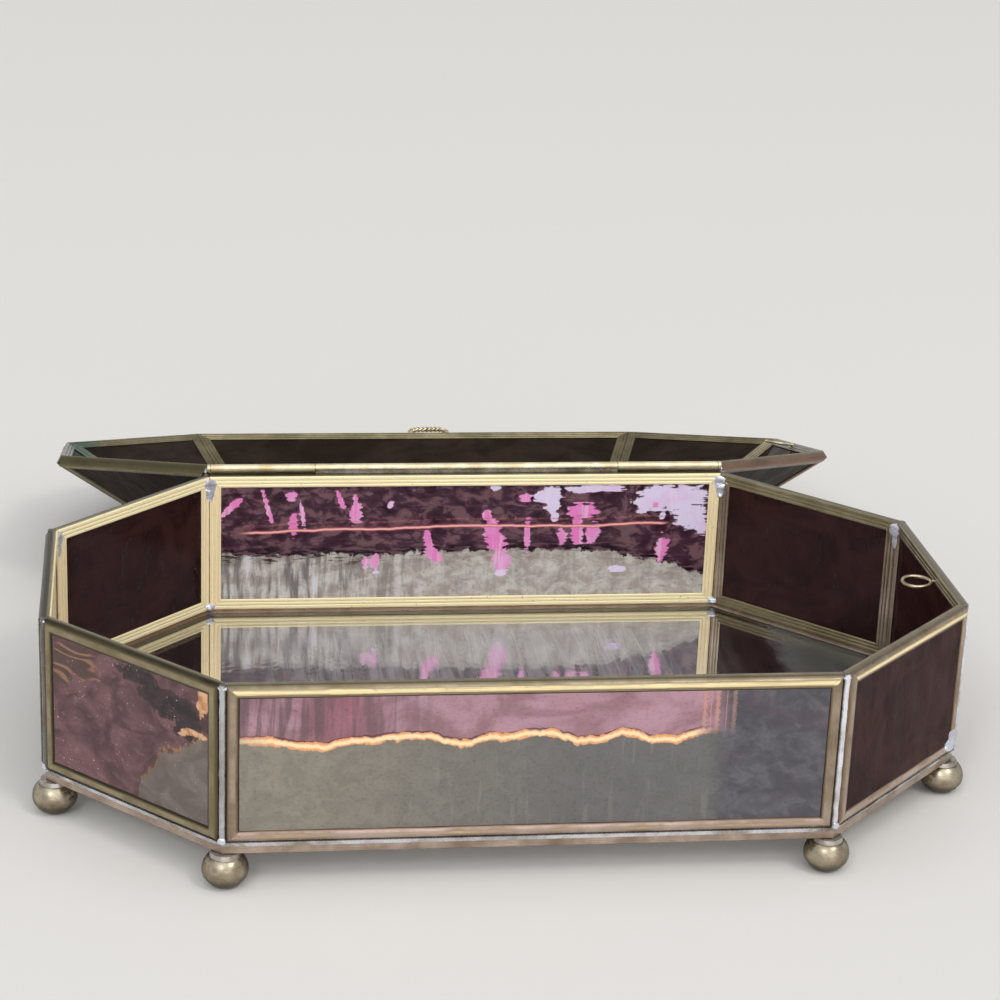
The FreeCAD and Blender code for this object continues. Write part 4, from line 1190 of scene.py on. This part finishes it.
# dabs of solder as setback, height and half sizes: at each corner inside under the rim and on
# the floor, on top of the rim and outside at the foot, then three by the right front corner
CORNER_DABS = [(CAME_T + 0.1, RIM_Z - 2.6, (3.5, 0.8, 2.2)), (CAME_T + 0.1, RIM_Z - 5.4, (1.5, 0.5, 2.4)),
               (CAME_T - 0.2, FLOOR_Z + 1.0, (1.9, 1.1, 1.2)), (1.9, RIM_Z - 0.85, (1.5, 1.4, 0.72)),
               (0.75, FLOOR_Z + 0.4, (1.1, 0.5, 1.1))]
EXTRA_DABS = [(3.6, FLOOR_Z + 2.4, (3.6, 1.15, 2.0)), (2.4, FLOOR_Z + 5.2, (2.3, 1.1, 2.9)),
              (1.6, FLOOR_Z + 9.3, (1.5, 1.0, 3.8))]
EXTRA_SETBACK, DAB_VARIES = 0.75, 0.35
dabs = []
for index in range(8):
    grow = 1 + DAB_VARIES * noise.noise(Vector((index * 1.7, 3.1, 0)))
    for inset, z, size in CORNER_DABS:
        x, y, yaw = corner_point(index, inset)
        dabs.append((blob_mesh([grow * n for n in size], index + z),
                     TRAY @ move(x, y, z) @ turn(yaw, "Z")))
x, y, yaw = corner_point(1, EXTRA_SETBACK)
for back, z, size in EXTRA_DABS:
    dabs.append((blob_mesh(size, z), TRAY @ move(x - 0.7 * back, y - 0.7 * back, z)
                 @ turn(45, "Z")))
add_joined("wall_corner_dabs", dabs, DAB, "tray", "solder")
add_joined("wall_corner_beads", walls, BEAD, "tray", "solder", ["wall_corner_solder"])
add_joined("lid_hip_beads", hips, BEAD, "lid", "solder", ["lid_hip_solder"])
add_joined("lid_top_beads", tops, BEAD, "lid", "solder", ["lid_top_solder"])
paint(SOLDER, "floor_seam_solder")
paint(DULL_SOLDER, "tray_hinge_solder", "lid_hinge_solder", "foot_solder")

# ---------------------------------------------------------------- feet

BELLY, NECK_R, NECK_Z, SOLE_R, LEDGE_Z = 4.7, 4.3, FOOT_H - 1.1, 2.2, 2.9
# how far in from the full curve: the sole's edge, the part under the ledge, the groove there
# and the ledge's own edge
SOLE_IN, UNDER_IN, GROOVE_IN, LEDGE_IN = 0.3, 0.2, 0.34, 0.05


def arc_side(end_r, end_z):
    """The radius at a height on an arc from the belly, at its widest, to a narrower end."""
    rise = end_z - BELLY
    offset = (rise * rise + end_r * end_r - FOOT_R * FOOT_R) / 2 / (end_r - FOOT_R)
    return lambda z: offset + math.sqrt(max((FOOT_R - offset) ** 2 - (z - BELLY) ** 2, 0.0))


def heights(low, high, count):
    return [low + (high - low) * i / count for i in range(count + 1)]


lower, upper = arc_side(SOLE_R, 0.0), arc_side(NECK_R, NECK_Z)
foot = [(0.0, 0.0), (SOLE_R - SOLE_IN, 0.0)]
foot += [(lower(z) - UNDER_IN, z) for z in heights(0.12, LEDGE_Z - 0.08, 12)]
foot += [(lower(LEDGE_Z) - GROOVE_IN, LEDGE_Z - 0.04), (lower(LEDGE_Z) - LEDGE_IN, LEDGE_Z + 0.02)]
foot += [(lower(z), z) for z in heights(LEDGE_Z + 0.06, BELLY, 8)[:-1]]
foot += [(upper(z), z) for z in heights(BELLY, NECK_Z, 14)]
foot += [(0.0, NECK_Z)]
for index, name in enumerate(CORNERS):
    x, y, yaw = corner_point(index, FOOT_SETBACK)
    add(f"{name}_ball", lathe_mesh(foot, index + 0.5), TRAY @ move(x, y) @ turn(yaw, "Z"),
        BALL, "tray", "brass_fittings", [f"{name}_foot"], sharp=50)

# ---------------------------------------------------------------- hinge, loop and eyes

paint(TUBE, "left_hinge_knuckle", "centre_hinge_knuckle", "right_hinge_knuckle", "hinge_pin")

# the lift loop: half its width, how far it stands out, its corner radius and what is let in
HALF_W, REACH, BEND, ROOT = 6.7, 6.4, 3.4, 0.4
path = []
for i in range(8):
    path.append((-HALF_W, ROOT + (BEND - REACH - ROOT) * i / 8))
for i in range(13):
    a = math.pi + math.pi / 2 * i / 12
    path.append((-HALF_W + BEND + BEND * math.cos(a), BEND - REACH + BEND * math.sin(a)))
for i in range(1, 14):
    path.append((-HALF_W + BEND + (2 * HALF_W - 2 * BEND) * i / 14, -REACH))
path += [(-x, y) for x, y in path[:21][::-1]]


# how the two strands of the loop are twisted, where it sits and how far it tips down
TWIST_PITCH, STRAND_R, STRAND_OFF, STRAND_STEPS = 3.1, 0.495, 0.5, 5
LOOP_X, LOOP_DROOP = 5.2, 18


def strand(phase):
    dense, run = [], 0.0
    for (x0, y0), (x1, y1) in zip(path, path[1:]):
        length = math.hypot(x1 - x0, y1 - y0)
        if length < 1e-6:
            continue
        along = Vector(((x1 - x0) / length, (y1 - y0) / length, 0))
        side = Vector((along.y, -along.x, 0))
        for i in range(STRAND_STEPS):
            t = i / STRAND_STEPS
            a = 2 * math.pi * (run + length * t) / TWIST_PITCH + phase
            centre = Vector((x0 + (x1 - x0) * t, y0 + (y1 - y0) * t, 0))
            outward = side * math.cos(a) + Vector((0, 0, 1)) * math.sin(a)
            dense.append(centre + outward * STRAND_OFF)
        run += length
    return dense


seat = LID @ move(LOOP_X, LID_SETBACK / 2 - FRONT_OUT,
                  LID_Z + CAME_T * math.cos(LID_SLOPE) / 2) @ turn(LOOP_DROOP, "X")
add_joined("lift_loop_strands", [(wire_mesh(strand(phase), STRAND_R), seat)
                                 for phase in (0.0, math.pi)],
           WIRE, "lid", "brass_fittings", ["lift_loop"], sharp=60)

EYE_R, EYE_WIRE, EYE_STEM, STEM_WIRE, STEM_ROOT = 4.0, 0.45, 1.3, 0.40, 0.3
TRAY_EYE_Y, TRAY_EYE_DROP = -9.0, 2.4
LID_EYE_Y, LID_EYE_RISE, LID_EYE_DROOP = -5.0, 0.6, 8.0


def add_eye(name, seed, place, body, replaces):
    """A bent wire ring with a short stem."""
    ring = []
    for i in range(64):
        a = 2 * math.pi * i / 64
        r = EYE_R + 0.06 * math.sin(2 * a + seed) + 0.04 * math.sin(3 * a + seed * 2)
        ring.append((r * math.cos(a), r * math.sin(a), 0.05 * math.sin(a + seed)))
    stem = [(EYE_R + (EYE_STEM + STEM_ROOT) * i / 6, 0, 0) for i in range(7)]
    wires = (wire_mesh(ring, EYE_WIRE, closed=True), wire_mesh(stem, STEM_WIRE))
    add_joined(name, [(made, place) for made in wires], WIRE, body, "brass_fittings", [replaces],
               sharp=60)


add_eye("tray_eye", 1.0, TRAY @ move(SIDE_OUT - CAME_T - EYE_R - EYE_STEM, TRAY_EYE_Y,
                                     RIM_Z - TRAY_EYE_DROP), "tray", "tray_stay_eye")
droop = math.radians(LID_EYE_DROOP)
place = LID @ move(SIDE_OUT - LID_SETBACK - LID_EYE_RISE / math.tan(LID_SLOPE)
                   - (EYE_R + EYE_STEM) * math.cos(droop), LID_EYE_Y,
                   LID_Z + LID_EYE_RISE - (EYE_R + EYE_STEM) * math.sin(droop))
add_eye("lid_eye", 2.0, place @ turn(-LID_EYE_DROOP, "Y"), "lid", "lid_stay_eye")

# ---------------------------------------------------------------- floor, world, lamps, camera

PALE = (0.79, 0.765, 0.73)
FLOOR_REACH = 60.0
# how bright the studio is: front, overhead, back low down, back midway, back high up, sides
BRIGHT, OVERHEAD, HORIZON, BACK_WALL, UPPER_BACK, SIDES = 1.6, 1.1, 0.88, 0.38, 0.16, 0.66


def make_floor():
    mesh = bpy.data.meshes.new("floor")
    r = FLOOR_REACH
    mesh.from_pydata([(-r, -r, 0), (r, -r, 0), (r, r, 0), (-r, r, 0)], [], [(0, 1, 2, 3)])
    floor = in_scene("floor", mesh)
    g = coat("floor")
    mesh.materials.append(g.shade(Base_Color=(*PALE, 1.0), Roughness=0.9, Specular_IOR_Level=0.0))


def make_world():
    """A soft studio: bright overhead and at the front, dimmer high at the back."""
    world = bpy.data.worlds.new("studio")
    bpy.context.scene.world = world
    g = Graph(world, "BACKGROUND")
    ahead = g.node("ShaderNodeTexCoord", {}, "Generated")
    x, y, z = (g.part(ahead, axis) for axis in "XYZ")
    back = g.span(y, -0.05, 0.35)
    sides = g.span(g.absolute(x), 0.30, 0.75)
    level = g.mixed(g.span(z, 0.405, 0.445), HORIZON, g.span(z, 0.45, 0.60, BACK_WALL, UPPER_BACK))
    level = g.mixed(back, g.mixed(sides, BRIGHT, SIDES), level)
    level = g.mixed(g.span(z, 0.84, 0.95), level, OVERHEAD)
    g.shade(Color=(0.97, 0.98, 1.0, 1.0), Strength=level)


def area_lamp(name, place, size, power, colour):
    """A square lamp turned to the middle of the stage."""
    lamp = bpy.data.lights.new(name, "AREA")
    lamp.shape = "RECTANGLE"
    lamp.size = lamp.size_y = size
    lamp.energy = power
    lamp.color = colour
    thing = in_scene(name, lamp)
    thing.location = place
    thing.rotation_mode = "QUATERNION"
    thing.rotation_quaternion = (-Vector(place)).to_track_quat("-Z", "Y")


# the photo's viewpoint, as a least-squares fit to corners, lid edges and feet in the photo gave
# it: turns in radians, the place in metres from the tray's middle, the lens in pixels of the photo
VIEW_YAW, VIEW_PITCH, VIEW_ROLL = 0.1424, 0.3494, 0.0406
VIEW_X, VIEW_Y, VIEW_Z = -0.09845, -0.68057, 0.32657
FOCAL_PX, PHOTO_PX, SENSOR_MM = 2650.6, 1000, 36


def make_camera():
    """The photo's viewpoint; in the row frame the tray's middle is at SHIFT along y."""
    yaw, pitch, roll = VIEW_YAW, VIEW_PITCH, VIEW_ROLL
    x, y, z = VIEW_X, VIEW_Y + SHIFT / 1000, VIEW_Z
    ahead = Vector((math.sin(yaw) * math.cos(pitch), math.cos(yaw) * math.cos(pitch),
                    -math.sin(pitch)))
    right = Vector((math.cos(yaw), -math.sin(yaw), 0))
    up = right.cross(ahead)
    across = math.cos(roll) * right + math.sin(roll) * up
    above_eye = -math.sin(roll) * right + math.cos(roll) * up
    data = bpy.data.cameras.new("camera")
    data.sensor_width = SENSOR_MM
    data.lens = FOCAL_PX * SENSOR_MM / PHOTO_PX
    data.clip_start, data.clip_end = 0.01, 100.0
    camera = in_scene("camera", data)
    axes = zip(across, above_eye, -ahead, (x, y, z))
    camera.matrix_world = Matrix((*axes, (0, 0, 0, 1)))
    bpy.context.scene.camera = camera


make_floor()
make_world()
area_lamp("key", (1.2, -1.6, 2.2), 0.5, 12.0, (1.0, 0.97, 0.92))
area_lamp("cool", (-0.9, -1.9, 1.5), 0.35, 7.0, (0.88, 0.94, 1.0))
make_camera()
bpy.context.scene.view_settings.view_transform = "Standard"
